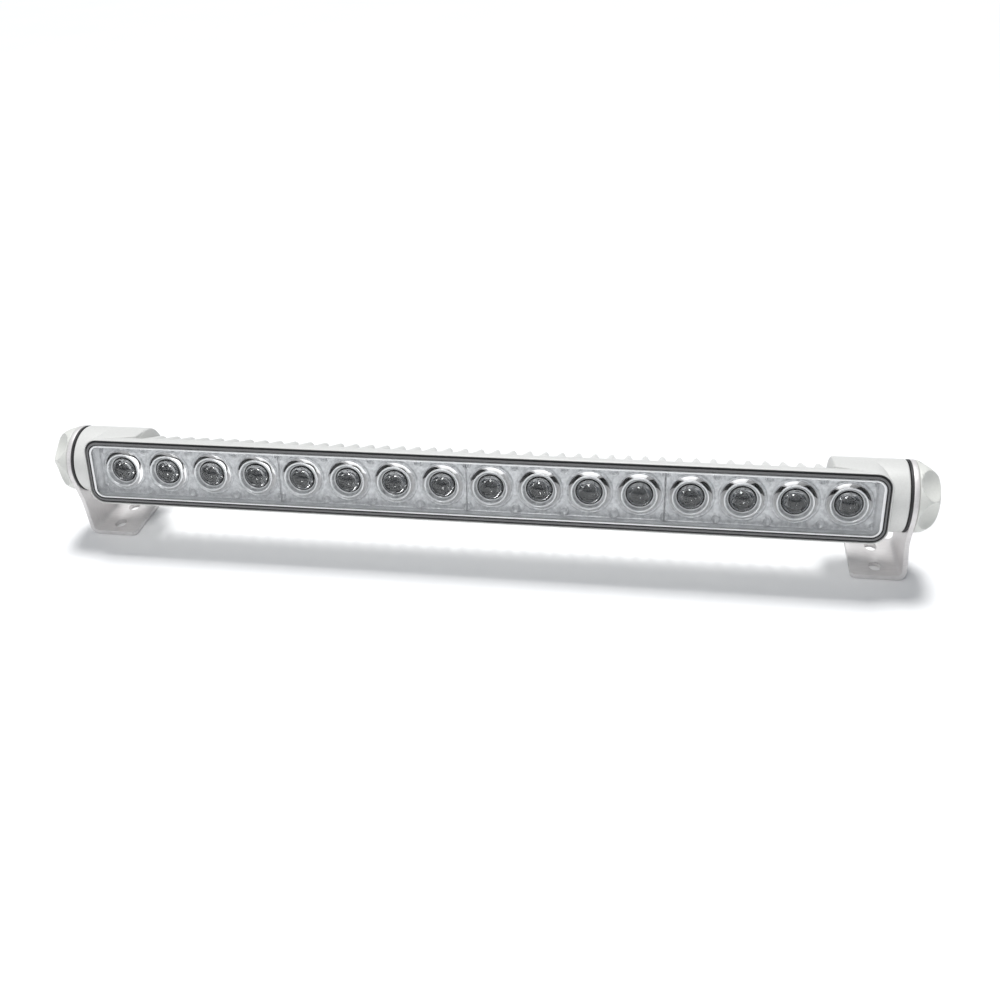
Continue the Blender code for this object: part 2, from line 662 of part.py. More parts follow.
def make_knob(side, carrier):
    """A domed hand knob with finger scoops, moulded over its stud's head."""
    depth = KNOB_END - KNOB_START
    profile = [(KNOB_RECESS, SOCKET_RADIUS), (KNOB_RECESS, KNOB_RECESS_RADIUS)]
    profile += [(0.0, KNOB_RECESS_RADIUS), (0.0, KNOB_RADIUS - KNOB_EDGE_INSET)]
    profile += [(KNOB_EDGE_DEPTH, KNOB_RADIUS)]
    for step in range(1, DOME_STEPS):
        angle = math.radians(90.0 * step / DOME_STEPS)
        along = DOME_START + (depth - DOME_START) * math.sin(angle) ** DOME_RISE
        profile.append((along, KNOB_RADIUS * math.cos(angle) ** DOME_FALL))
    profile += [(depth, 0.0), (SOCKET_DEPTH, 0.0), (SOCKET_DEPTH, SOCKET_RADIUS)]
    profile = [(side * (KNOB_START + along), radius) for along, radius in profile]
    name = "right_knob" if side > 0 else "left_knob"
    shape = turned(name, profile, 30, "X", closed=True)
    skin_start = (KNOB_START + SKIN_START) * MM
    for vertex in shape.data.vertices:
        radius = math.hypot(vertex.co.y, vertex.co.z)
        if abs(vertex.co.x) > skin_start and radius > (SOCKET_RADIUS + GAP) * MM:
            moved = scooped(tuple(vertex.co / MM), side)
            vertex.co = Vector(moved) * MM
    finish_piece(shape, "white_plastic", carrier, KNOB_SMOOTH_ANGLE)

    name = "right_stud" if side > 0 else "left_stud"
    head = KNOB_START + KNOB_RECESS + STUD_HEAD_INSET
    profile = [(STUD_START, 0.0), (STUD_START, STUD_RADIUS - STUD_CHAMFER)]
    profile += [(STUD_START + STUD_CHAMFER, STUD_RADIUS)]
    profile += [(head, STUD_RADIUS), (head, STUD_HEAD_RADIUS)]
    profile += [(head + STUD_HEAD_HEIGHT, STUD_HEAD_RADIUS), (head + STUD_HEAD_HEIGHT, 0.0)]
    stud = turned(name, [(side * along, radius) for along, radius in profile], 14, "X")
    finish_piece(stud, "stainless", carrier, SMOOTH_ANGLE)


def foot_plate_outline():
    """The foot seen along the bar: a round eye that widens to the flange."""
    points = []
    shift = -AXIS_HEIGHT
    back = (FOOT_BACK, FOOT_SHOULDER + shift)
    front = (FOOT_FRONT, FOOT_SHOULDER + shift)

    def tangent_angle(point, sign):
        distance = math.hypot(*point)
        swing = math.acos(EYE_RADIUS / distance)
        return math.degrees(math.atan2(point[1], point[0]) + sign * swing)

    start = tangent_angle(back, 1)
    end = tangent_angle(front, -1) + 360.0
    points += arc((0.0, 0.0), EYE_RADIUS, start, end, 16)
    points += [front, (FOOT_FRONT, shift - PAST), (FOOT_BACK, shift - PAST), back]
    return points


def make_foot(side, hanger):
    """Bent sheet: a flange with two bolt slots, and an upright with an eye."""
    name = "right_bracket" if side > 0 else "left_bracket"
    base = -AXIS_HEIGHT
    bend = (FOOT_OUTER - BEND_RADIUS, base + BEND_RADIUS)
    profile = [(FOOT_INNER, base)]
    profile += arc(bend, BEND_RADIUS, -90, 0, 5)
    profile += [(FOOT_OUTER, base + LEAN_START), (EYE_END, base + LEAN_END)]
    profile += [(EYE_END, EYE_RADIUS + PAST), (EYE_START, EYE_RADIUS + PAST)]
    profile += [(EYE_START, base + LEAN_END)]
    profile += [(FOOT_OUTER - SHEET, base + LEAN_START)]
    profile += arc(bend, BEND_RADIUS - SHEET, 0, -90, 5)
    profile += [(FOOT_INNER, base + SHEET)]
    profile = [(side * x, z) for x, z in profile]
    foot = prism(name, profile, FOOT_FRONT - FAR_PAST, FOOT_BACK + FAR_PAST, "Y")
    near, far = side * (FOOT_INNER - FAR_PAST), side * (FOOT_OUTER + FAR_PAST)
    boolean(foot, prism("outline", foot_plate_outline(), near, far, "X"), "INTERSECT")

    plan = arc((FOOT_INNER + FOOT_CORNER, FOOT_FRONT + FOOT_CORNER), FOOT_CORNER, 180, 270, 4)
    front, back = FOOT_FRONT - FAR_PAST, FOOT_BACK + FAR_PAST
    outside = FOOT_OUTER + PAST
    plan += [(UPRIGHT_START, FOOT_FRONT), (UPRIGHT_START, front), (outside, front)]
    plan += [(outside, back), (UPRIGHT_START, back), (UPRIGHT_START, FOOT_BACK)]
    plan += arc((FOOT_INNER + FOOT_CORNER, FOOT_BACK - FOOT_CORNER), FOOT_CORNER, 90, 180, 4)
    plan = [(side * x, y) for x, y in plan]
    boolean(foot, prism("plan", plan, base - PAST, EYE_RADIUS + PAST, "Z"), "INTERSECT")

    cutters = [disc("eye_hole", EYE_BORE, side * FOOT_INNER, side * (FOOT_OUTER + PAST), 16, "X")]
    for place in SLOT_Y:
        centre = (side * SLOT_X, place)
        slot = rounded_rectangle(SLOT_WIDTH, SLOT_LENGTH, SLOT_WIDTH / 2 - SLOT_FLAT, 4, centre)
        cutters.append(prism("slot", slot, base - PAST, base + SHEET + PAST, "Z"))
    boolean(foot, joined("holes", cutters), "DIFFERENCE")
    finish_piece(foot, "stainless", hanger, SMOOTH_ANGLE)


def make_end(side, lamp, axis_point):
    """Everything that clamps one foot to one barrel."""
    word = "right" if side > 0 else "left"

    def ring(name, inner, outer, start, end, segments):
        return tube(f"{word}_{name}", inner, outer, side * start, side * end, segments, "X")

    friction = ring("friction_ring", RING_BORE, RING_RADIUS, RING_START, RING_END, 32)
    finish_piece(friction, "black_rubber", lamp, SMOOTH_ANGLE)
    insert = ring("thread_insert", INSERT_BORE, INSERT_RADIUS, INSERT_START, INSERT_END, 16)
    finish_piece(insert, "brass", lamp, SMOOTH_ANGLE)
    make_foot(side, empty(f"{word}_tilt_axis", axis_point))
    slide_axis = empty(f"{word}_clamp_axis", axis_point)
    washer = ring("thrust_washer", WASHER_BORE, WASHER_RADIUS, WASHER_START, WASHER_END, 20)
    finish_piece(washer, "stainless", slide_axis, SMOOTH_ANGLE)
    make_knob(side, empty(f"{word}_knob_axis", (0.0, 0.0, 0.0), -TILT, slide_axis))


def build():
    clear_scene()
    axis_point = (0.0, AXIS_Y * MM, AXIS_HEIGHT * MM)
    lamp = empty("lamp_axis", axis_point, -TILT)
    make_housing(lamp)
    make_cover(lamp)
    make_optic_modules(lamp)
    make_optics(lamp)
    make_boards(lamp)
    make_driver(lamp)
    make_rear_fittings(lamp)
    for side in (-1, 1):
        make_end(side, lamp, axis_point)


build()
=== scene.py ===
import math

import bmesh
import bpy
from mathutils import Matrix, Vector
from mathutils.geometry import delaunay_2d_cdt


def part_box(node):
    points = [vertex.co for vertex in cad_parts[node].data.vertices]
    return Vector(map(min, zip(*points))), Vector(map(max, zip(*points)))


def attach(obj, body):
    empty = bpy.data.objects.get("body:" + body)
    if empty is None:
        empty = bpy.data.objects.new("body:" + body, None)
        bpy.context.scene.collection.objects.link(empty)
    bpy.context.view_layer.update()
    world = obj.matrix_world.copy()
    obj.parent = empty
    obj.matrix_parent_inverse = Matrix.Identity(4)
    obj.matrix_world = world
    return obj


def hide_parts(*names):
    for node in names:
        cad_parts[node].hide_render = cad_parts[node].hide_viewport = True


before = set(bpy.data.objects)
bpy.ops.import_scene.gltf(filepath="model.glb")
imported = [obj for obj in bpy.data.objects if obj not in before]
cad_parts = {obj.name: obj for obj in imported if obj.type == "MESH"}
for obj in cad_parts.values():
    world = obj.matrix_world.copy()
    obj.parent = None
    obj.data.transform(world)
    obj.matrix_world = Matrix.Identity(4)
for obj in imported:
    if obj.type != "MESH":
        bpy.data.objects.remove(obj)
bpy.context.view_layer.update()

# The visible model of a white LED light bar, its stage, lights and camera.
# Tables are in millimetres.  Lamp coordinates are (along the bar, depth behind
# the tilt axis, height above it); the lamp is tilted so its lit side looks up.
# The feet stand upright: their heights are measured from the floor.

MM = 0.001
TILT = math.radians(-11.0)
ring_low, ring_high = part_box("right_friction_ring")
AXIS = Vector((0.0, (ring_low.y + ring_high.y) / 2, (ring_low.z + ring_high.z) / 2))
LAMP = Matrix.Translation(AXIS) @ Matrix.Rotation(TILT, 4, "X") @ Matrix.Scale(MM, 4)
UPRIGHT = Matrix.Translation((0.0, AXIS.y, 0.0)) @ Matrix.Scale(MM, 4)
AXIS_HEIGHT = AXIS.z / MM

LED_COUNT = 16
LED_PITCH = 30.9
MODULE_LEDS = 4
MODULE_COUNT = 4

FRAME_HALF = (255.1, 22.6, 10.0)        # half length, half height, corner radius
GASKET_HALF = (254.0, 21.6, 9.0)
COVER_HALF = (251.3, 18.1, 6.3)
WINDOW_HALF = (249.6, 17.15, 4.9)       # the part of the cover inside its bright bevel
BARREL_RADIUS = 22.25
BARREL_INNER = 221.9
BARREL_END = 265.6
FIN_COUNT = 42
FIN_PITCH = 10.5
TRAY_FLOOR = -3.2
PLATE_FRONT = -17.0
PLATE_BACK = -6.5
PLATE_HALF_HEIGHT = 17.3
PLATE_END = 15.3                        # from the last light of a plate to the bead at its end
POCKET_MOUTH = 13.1                     # radius at which a plate's face turns into a pocket
SHEET = 2.8
FOOT_OUTER = 273.4
FOOT_FRONT = -12.0
FOOT_BACK = 29.0
EYE_MIDDLE = 268.9
WELD = 0.003                            # points nearer than this become one
ROUND_STEPS = 96                        # sides of a large round, and of a small one
SMALL_ROUND_STEPS = 64
GLAND_PLACE = (-240.0, -4.6)
VENT_PLACE = (240.0, 0.0)


# ---------------------------------------------------------------- shape tools

class Shape:
    """Points and faces gathered in millimetres until they become one piece."""

    def __init__(self):
        self.points = []
        self.faces = []
        self.finishes = []

    def face(self, corners, finish=0):
        self.faces.append(tuple(corners))
        self.finishes.append(finish)

    def loops(self, rows, ring=False, capped=False, finish=0):
        """Bridge closed rows of equal length; finish is one number, or one per strip."""
        indices = []
        for row in rows:
            start = len(self.points)
            self.points += row
            indices.append(list(range(start, start + len(row))))
        pairs = list(zip(indices, indices[1:]))
        if ring:
            pairs.append((indices[-1], indices[0]))
        finishes = finish if isinstance(finish, list) else [finish] * len(pairs)
        for (first, second), strip_finish in zip(pairs, finishes):
            for step in range(len(first)):
                after = (step + 1) % len(first)
                self.face((first[step], first[after], second[after], second[step]), strip_finish)
        if capped:
            self.face(indices[0], finishes[0])
            self.face(indices[-1], finishes[-1])
        return indices

    def turned(self, profile, segments, axis="Y", centre=(0.0, 0.0), ring=False, finish=0):
        """Spin (along, radius) points about an axis; centre gives the two other coordinates."""
        rows = []
        for along, radius in profile:
            row = []
            for step in range(segments):
                angle = math.tau * step / segments
                one = centre[0] + radius * math.cos(angle)
                two = centre[1] + radius * math.sin(angle)
                row.append((along, one, two) if axis == "X" else (one, along, two))
            rows.append(row)
        return self.loops(rows, ring=ring, finish=finish)

    def piece(self, name, place, looks, body, nodes, smooth=35.0):
        """Finish the shape; smooth is the angle in degrees above which an edge stays sharp."""
        mesh = bpy.data.meshes.new(name)
        mesh.from_pydata([place @ Vector(point) for point in self.points], [], self.faces)
        mesh.polygons.foreach_set("material_index", self.finishes)
        work = bmesh.new()
        work.from_mesh(mesh)
        bmesh.ops.remove_doubles(work, verts=work.verts, dist=WELD * MM)
        bmesh.ops.recalc_face_normals(work, faces=work.faces)
        work.to_mesh(mesh)
        work.free()
        shown(name, mesh, looks, body, nodes, smooth)


def shown(name, mesh, looks, body, nodes, smooth):
    """Turn a finished mesh into a piece that rides on its body."""
    made = bpy.data.objects.new(name, mesh)
    bpy.context.scene.collection.objects.link(made)
    for surface in looks:
        mesh.materials.append(surface)
    mesh.shade_smooth()
    mesh.set_sharp_from_angle(angle=math.radians(smooth))
    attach(made, body)
    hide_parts(*nodes)


def rounded(half, depth, inset=0.0):
    """A rounded rectangle facing the lit side, as a row of points."""
    least_radius, corner_steps = 0.3, 8
    length, height, radius = half[0] - inset, half[1] - inset, max(half[2] - inset, least_radius)
    row = []
    for corner, (side_x, side_z) in enumerate(((1, 1), (-1, 1), (-1, -1), (1, -1))):
        for step in range(corner_steps + 1):
            angle = math.radians(90.0 * (corner + step / corner_steps))
            x = side_x * (length - radius) + radius * math.cos(angle)
            z = side_z * (height - radius) + radius * math.sin(angle)
            row.append((x, depth, z))
    return row


def between(table, value):
    """Read a value off a table of (input, output) pairs."""
    if value <= table[0][0]:
        return table[0][1]
    for (low, first), (high, second) in zip(table, table[1:]):
        if value <= high:
            return first + (second - first) * (value - low) / (high - low)
    return table[-1][1]


def bump(distance, width):
    """One smooth hill of height 1, zero beyond its width."""
    share = min(abs(distance) / width, 1.0)
    return 0.5 + 0.5 * math.cos(math.pi * share)


# ------------------------------------------------------------------ materials

def look(name, colour, roughness, metallic=0.0, **extra):
    """A plain surface; textured() then spreads its colour."""
    made = bpy.data.materials.new(name)
    made.use_nodes = True
    shader = made.node_tree.nodes["Principled BSDF"]
    shader.inputs["Base Color"].default_value = (*colour, 1.0)
    shader.inputs["Roughness"].default_value = roughness
    shader.inputs["Metallic"].default_value = metallic
    for socket, value in extra.items():
        shader.inputs[socket.replace("_", " ")].default_value = value
    return made


def textured(made, colour_low, colour_high, scale, bump_height=0.0, stretch=(1, 1, 1),
             rough=None, detail=3.0):
    """Noise in the colour, and if asked for in the surface and its roughness."""
    nodes, links = made.node_tree.nodes, made.node_tree.links
    shader = nodes["Principled BSDF"]
    place = nodes.new("ShaderNodeTexCoord")
    mapping = nodes.new("ShaderNodeMapping")
    mapping.inputs["Scale"].default_value = stretch
    grain = nodes.new("ShaderNodeTexNoise")
    grain.inputs["Scale"].default_value = scale
    grain.inputs["Detail"].default_value = detail
    ramp = nodes.new("ShaderNodeValToRGB")
    ramp.color_ramp.elements[0].position = 0.3
    ramp.color_ramp.elements[1].position = 0.7
    ramp.color_ramp.elements[0].color = (*colour_low, 1.0)
    ramp.color_ramp.elements[1].color = (*colour_high, 1.0)
    links.new(place.outputs["Object"], mapping.inputs["Vector"])
    links.new(mapping.outputs["Vector"], grain.inputs["Vector"])
    links.new(grain.outputs["Fac"], ramp.inputs["Fac"])
    links.new(ramp.outputs["Color"], shader.inputs["Base Color"])
    if bump_height:
        relief = nodes.new("ShaderNodeBump")
        relief.inputs["Strength"].default_value = 1.0
        relief.inputs["Distance"].default_value = bump_height * MM
        links.new(grain.outputs["Fac"], relief.inputs["Height"])
        links.new(relief.outputs["Normal"], shader.inputs["Normal"])
    if rough:
        spread = nodes.new("ShaderNodeMapRange")
        spread.inputs["To Min"].default_value = rough[0]
        spread.inputs["To Max"].default_value = rough[1]
        links.new(grain.outputs["Fac"], spread.inputs["Value"])
        links.new(spread.outputs["Result"], shader.inputs["Roughness"])
    return made


def see_through(name, tint, ior, gloss_roughness, strength=1.0):
    """Clear plastic that mirrors at grazing angles and otherwise lets light pass."""
    made = bpy.data.materials.new(name)
    made.use_nodes = True
    nodes, links = made.node_tree.nodes, made.node_tree.links
    nodes.remove(nodes["Principled BSDF"])
    clear = nodes.new("ShaderNodeBsdfTransparent")
    clear.inputs["Color"].default_value = (*tint, 1.0)
    gloss = nodes.new("ShaderNodeBsdfGlossy")
    gloss.inputs["Roughness"].default_value = gloss_roughness
    edge = nodes.new("ShaderNodeFresnel")
    edge.inputs["IOR"].default_value = ior
    weight = nodes.new("ShaderNodeMath")
    weight.operation = "MULTIPLY"
    weight.inputs[1].default_value = strength
    mix = nodes.new("ShaderNodeMixShader")
    links.new(edge.outputs["Fac"], weight.inputs[0])
    links.new(weight.outputs["Value"], mix.inputs["Fac"])
    links.new(clear.outputs["BSDF"], mix.inputs[1])
    links.new(gloss.outputs["BSDF"], mix.inputs[2])
    links.new(mix.outputs["Shader"], nodes["Material Output"].inputs["Surface"])
    return made


PAINT = textured(look("white_paint", (0.7, 0.7, 0.68), 0.42, Specular_IOR_Level=0.4),
                 (0.68, 0.68, 0.66), (0.725, 0.725, 0.705), 900.0, 0.02, rough=(0.36, 0.48))
KNOB_PLASTIC = textured(look("knob_plastic", (0.7, 0.7, 0.67), 0.42, Specular_IOR_Level=0.4),
                        (0.68, 0.685, 0.65), (0.72, 0.725, 0.69), 700.0, 0.02, rough=(0.38, 0.5))
RUBBER = textured(look("black_rubber", (0.02, 0.02, 0.02), 0.5),
                  (0.016, 0.016, 0.017), (0.03, 0.03, 0.031), 1200.0, 0.02, rough=(0.4, 0.6))
GASKET = textured(look("gasket_rubber", (0.17, 0.17, 0.17), 0.5, Specular_IOR_Level=0.3),
                  (0.15, 0.15, 0.152), (0.2, 0.2, 0.202), 1200.0, 0.02, rough=(0.4, 0.55))
SILVER = textured(look("silvered_plastic", (0.7, 0.7, 0.71), 0.42, 0.4),
                  (0.56, 0.56, 0.57), (0.86, 0.86, 0.87), 420.0, 0.1, rough=(0.34, 0.5), detail=6.0)
SILVER_SMOOTH = textured(look("silvered_wall", (0.6, 0.6, 0.61), 0.45, 0.3),
                         (0.62, 0.62, 0.63), (0.78, 0.78, 0.79), 200.0, 0.03, rough=(0.4, 0.5))
# Painted shade: dark streaks put on the pocket wall sectors that should look shadowed.
POCKET_PAINTED_SHADE = textured(look("pocket_painted_shade", (0.07, 0.07, 0.072), 0.3, 0.5),
                       (0.03, 0.03, 0.032), (0.14, 0.14, 0.143), 420.0, 0.05, rough=(0.22, 0.36))
# Painted light: near-white with a glow, put on the pocket and cone wall sectors that should show a
# reflection, standing in for light the clear optics pass on.
POCKET_PAINTED_LIGHT = textured(look("pocket_painted_light", (0.9, 0.9, 0.91), 0.3, 0.2, Emission_Strength=0.5),
                      (0.84, 0.84, 0.85), (0.94, 0.94, 0.95), 300.0, 0.0, rough=(0.24, 0.34))
# Silvered grey with a faint painted glow, standing in for light the clear optics pass on.
POCKET_GREY_PAINTED_GLOW = textured(look("pocket_side_painted_glow", (0.62, 0.62, 0.63), 0.4, 0.3, Emission_Strength=0.12),
                       (0.5, 0.5, 0.51), (0.74, 0.74, 0.75), 300.0, 0.03, rough=(0.34, 0.46))
# Painted highlight: the bevel round the clear cover is white, standing in for the light it catches.
COVER_RIM_PAINTED_HIGHLIGHT = textured(look("cover_rim_painted_highlight", (0.9, 0.9, 0.9), 0.3, Specular_IOR_Level=0.5),
                     (0.88, 0.885, 0.885), (0.95, 0.955, 0.955), 400.0, 0.0, rough=(0.24, 0.34))
COVER_WINDOW = see_through("cover_window", (0.985, 0.99, 0.99), 1.45, 0.02, 0.22)
OPTIC_WALL = textured(look("optic_wall", (0.7, 0.7, 0.71), 0.22, 0.35),
                      (0.5, 0.5, 0.51), (0.82, 0.82, 0.83), 420.0, 0.05, rough=(0.16, 0.3))
# Painted highlight: the clear collimator's rim is near-white, and the same look paints a glint low in
# each cup.
OPTIC_RIM_PAINTED_HIGHLIGHT = textured(look("optic_rim_painted_highlight", (0.95, 0.95, 0.96), 0.2, 0.2),
                     (0.9, 0.9, 0.91), (0.98, 0.98, 0.985), 420.0, 0.0, rough=(0.15, 0.25))
# The optic's dark inside; the same look also paints shade as dark streaks on the outer cones.
OPTIC_DARK_AND_PAINTED_SHADE = textured(look("optic_dark_and_painted_shade", (0.012, 0.012, 0.013), 0.3, Specular_IOR_Level=0.15),
                      (0.008, 0.008, 0.009), (0.035, 0.035, 0.037), 300.0, 0.0, rough=(0.25, 0.35))
DOME = see_through("optic_dome", (0.82, 0.82, 0.825), 1.5, 0.08, 2.2)
STEEL = textured(look("stainless", (0.74, 0.72, 0.715), 0.5, 0.3),
                 (0.69, 0.67, 0.665), (0.78, 0.76, 0.755), 160.0, 0.02, stretch=(1, 14, 1),
                 rough=(0.42, 0.54), detail=5.0)
STEEL_PLAIN = textured(look("stainless_turned", (0.6, 0.6, 0.6), 0.25, 1.0),
                       (0.55, 0.55, 0.55), (0.66, 0.66, 0.66), 900.0, 0.0, rough=(0.2, 0.32))
BRASS = textured(look("brass", (0.6, 0.45, 0.18), 0.3, 1.0),
                 (0.56, 0.42, 0.16), (0.66, 0.5, 0.2), 700.0, 0.0, rough=(0.25, 0.4))
BOARD = textured(look("circuit_board", (0.8, 0.8, 0.78), 0.4),
                 (0.76, 0.77, 0.74), (0.84, 0.84, 0.81), 500.0, 0.0, rough=(0.35, 0.5))
PAD = textured(look("thermal_pad", (0.35, 0.4, 0.48), 0.7),
               (0.32, 0.37, 0.45), (0.39, 0.44, 0.52), 500.0, 0.02)
DARK = textured(look("dark_plastic", (0.03, 0.03, 0.032), 0.45),
                (0.025, 0.025, 0.027), (0.045, 0.045, 0.048), 900.0, 0.02, rough=(0.4, 0.55))


# -------------------------------------------------------------------- housing

def make_frame():
    """The rounded front frame, its raised lip, the seat and the tray's mouth."""
    seat = -21.3
    skirt = [(0.8, -16.9), (0.7, -17.2), (0.7, seat), (0.62, -21.6), (0.15, -21.9), (0.02, -22.2)]
    lip = [(0.0, -23.8), (0.1, -24.2), (0.35, -24.46), (0.6, -24.5), (0.8, -24.42), (0.86, -24.2),
           (0.86, seat)]
    rows = [rounded(FRAME_HALF, depth, inset) for inset, depth in skirt + lip]
    tray_half = (251.5, 18.0, 6.4)
    tray_back = -14.0
    rows += [rounded(tray_half, depth) for depth in (seat, tray_back)]
    shape = Shape()
    shape.loops(rows, ring=True)
    shape.piece("housing_front_frame", LAMP, [PAINT], "lamp", ["housing"])


def make_finned_body():
    """Upright fins that rise out of the tray's back like a row of soft blades."""
    # Half outlines, as (depth, height), between two fins and on a fin's crest; then the tray's
    # inside, and a fin's flank as (distance from its middle, share of the way out to the crest).
    core = [(-17.7, 21.85), (-12.0, 19.4), (-6.0, 16.85), (0.0, 14.4), (2.0, 13.4), (3.2, 12.3),
            (4.0, 10.8), (4.0, 7.0), (4.0, 3.5), (4.0, 0.0)]
    crest = [(-17.7, 21.9), (-10.8, 20.2), (-4.0, 18.5), (3.0, 16.8), (8.6, 15.3), (11.7, 13.6),
             (13.5, 11.2), (14.3, 8.0), (14.5, 4.0), (14.5, 0.0)]
    inner = [(-17.7, -18.4), (-14.0, -18.4), (TRAY_FLOOR, -13.5), (TRAY_FLOOR, 13.5), (-14.0, 18.4),
             (-17.7, 18.4)]
    flank = [(0.0, 1.0), (0.55, 0.98), (1.05, 0.9), (1.5, 0.77), (2.0, 0.6), (2.6, 0.4),
             (3.2, 0.22), (3.9, 0.09), (4.6, 0.02), (FIN_PITCH / 2, 0.0)]
    reach = BARREL_INNER + 2.0      # the body runs on into both barrels

    def section(x, share):
        half = []
        for (low_y, low_z), (high_y, high_z) in zip(core, crest):
            half.append((low_y + (high_y - low_y) * share, low_z + (high_z - low_z) * share))
        outline = half + [(y, -z) for y, z in reversed(half[:-1])] + inner
        return [(x, y, z) for y, z in outline]

    rows = [section(-reach, 0.0)]
    for number in range(FIN_COUNT):
        middle = (number - (FIN_COUNT - 1) / 2) * FIN_PITCH
        for offset, share in reversed(flank[1:]):
            rows.append(section(middle - offset, share))
        for offset, share in flank[:-1]:
            rows.append(section(middle + offset, share))
    rows.append(section(reach, 0.0))
    shape = Shape()
    shape.loops(rows, capped=True)
    shape.piece("housing_finned_body", LAMP, [PAINT], "lamp", ["housing"], 50.0)


def make_barrel(side, word):
    """A round end with soft edges; as far as the last light it is cut back to the tray's floor."""
    inner_edge, outer_edge = 1.2, 1.3
    floor_half = 13.0
    arc_end, arc_steps = math.radians(127.0), 72
    cut_end, full_start = 251.6, 251.5      # the two lengths overlap, so no gap shows
    bore_radius, bore_depth = 6.4, 10.0

    def section(x, radius):
        """An arc round the back of the barrel, closed by the tray's flat floor."""
        row = []
        for step in range(arc_steps + 1):
            angle = arc_end - 2 * arc_end * step / arc_steps
            row.append((side * x, radius * math.cos(angle), radius * math.sin(angle)))
        return row + [(side * x, TRAY_FLOOR, z) for z in (-floor_half, floor_half)]

    rows = []
    for step in range(6, -1, -1):
        angle = math.radians(15.0 * step)
        rows.append(section(BARREL_INNER + inner_edge * (1 - math.sin(angle)),
                            BARREL_RADIUS - inner_edge * (1 - math.cos(angle))))
    rows.append(section(cut_end, BARREL_RADIUS))
    shape = Shape()
    shape.loops(rows, capped=True)
    profile = [(side * full_start, 0.0), (side * full_start, BARREL_RADIUS)]
    for step in range(9):
        angle = math.radians(90.0 * step / 8)
        profile.append((side * (BARREL_END - outer_edge + outer_edge * math.sin(angle)),
                        BARREL_RADIUS - outer_edge * (1 - math.cos(angle))))
    bore_floor = side * (BARREL_END - bore_depth)
    profile += [(side * BARREL_END, bore_radius), (bore_floor, bore_radius), (bore_floor, 0.0)]
    shape.turned(profile, ROUND_STEPS, "X")
    shape.piece(f"housing_{word}_barrel", LAMP, [PAINT], "lamp", ["housing"])


def make_shoulder(side, word):
    """Carries the barrel's crown forward into the corner of the front frame."""
    reach, corner, edge, steps = 254.75, 10.0, 0.5, 8
    start = BARREL_INNER + 0.3      # set back, so its end face and the barrel's don't coincide
    front_start, front_sweep, sweep_power = -14.6, 7.0, 1.1
    corner_front, corner_fall, side_front = -21.6, 0.3, -19.2

    def station(x, z, out_x, out_z, front, shrink=0.0):
        """A closed section, from the tilt axis forward to the rounded front edge and back."""
        def at(inset, depth):
            inset += shrink
            return (side * (x - inset * out_x), depth, z - inset * out_z)
        return [at(3.0, 0.0), at(3.0, front + shrink), at(0.55, front + shrink),
                at(0.16, front + 0.14 + shrink), at(0.0, front + 0.55 + shrink),
                at(0.0, -12.0), at(0.0, -3.0), at(0.0, 0.0)]

    upper = []
    for step in range(steps + 1):
        x = start + (reach - corner - start) * step / steps
        front = front_start - front_sweep * (step / steps) ** sweep_power
        upper.append((x, BARREL_RADIUS, 0.0, 1.0, front))
    for step in range(1, steps + 1):
        angle = math.radians(90.0 - 90.0 * step / steps)
        x = reach - corner + corner * math.cos(angle)
        z = BARREL_RADIUS - corner + corner * math.sin(angle)
        upper.append((x, z, math.cos(angle), math.sin(angle), corner_front + corner_fall * step))
    shape = Shape()
    for flip in (1, -1):
        first = (upper[0][0] + edge, *upper[0][1:])
        rows = [station(*upper[0], shrink=edge), station(*first)]
        rows += [station(*item) for item in upper[1:]]
        rows.append(station(reach, 0.0, 1.0, 0.0, side_front))
        rows = [[(x, y, flip * z) for x, y, z in row] for row in rows]
        shape.loops(rows, capped=True)
    shape.piece(f"housing_{word}_shoulder", LAMP, [PAINT], "lamp", ["housing"])


def make_rear_boss(word, centre, radius):
    """A round boss behind a barrel, a little wider at its root."""
    root, face = 13.0, 22.2
    profile = [(root, 0.0), (root, radius + 0.9), (19.0, radius + 0.5), (21.4, radius + 0.1),
               (21.9, radius - 0.1), (face, radius - 0.6), (face, 0.0)]
    shape = Shape()
    shape.turned(profile, SMALL_ROUND_STEPS, "Y", centre)
    shape.piece(f"housing_{word}_boss", LAMP, [PAINT], "lamp", ["housing"])


# ----------------------------------------------------------- cover and gasket

def blended(outer, inner, share):
    """A rounded rectangle's sizes part of the way from one to another."""
    return tuple(first + (second - first) * share for first, second in zip(outer, inner))


def make_cover():
    """A clear plate with a bevel round its window, white as a painted highlight."""
    window, rim = 0, 1
    rows = [rounded(blended(COVER_HALF, WINDOW_HALF, share), depth) for share, depth in (
        (0.0, -21.95), (0.0, -24.35), (0.1, -24.65), (0.3, -24.84), (0.55, -24.9), (0.8, -24.84),
        (1.0, -24.7),
    )]
    shape = Shape()
    indices = shape.loops(rows, finish=rim)
    shape.face(indices[-1], window)
    shape.face(indices[0], window)
    shape.piece("cover_window", LAMP, [COVER_WINDOW, COVER_RIM_PAINTED_HIGHLIGHT], "lamp", ["cover_lens"])


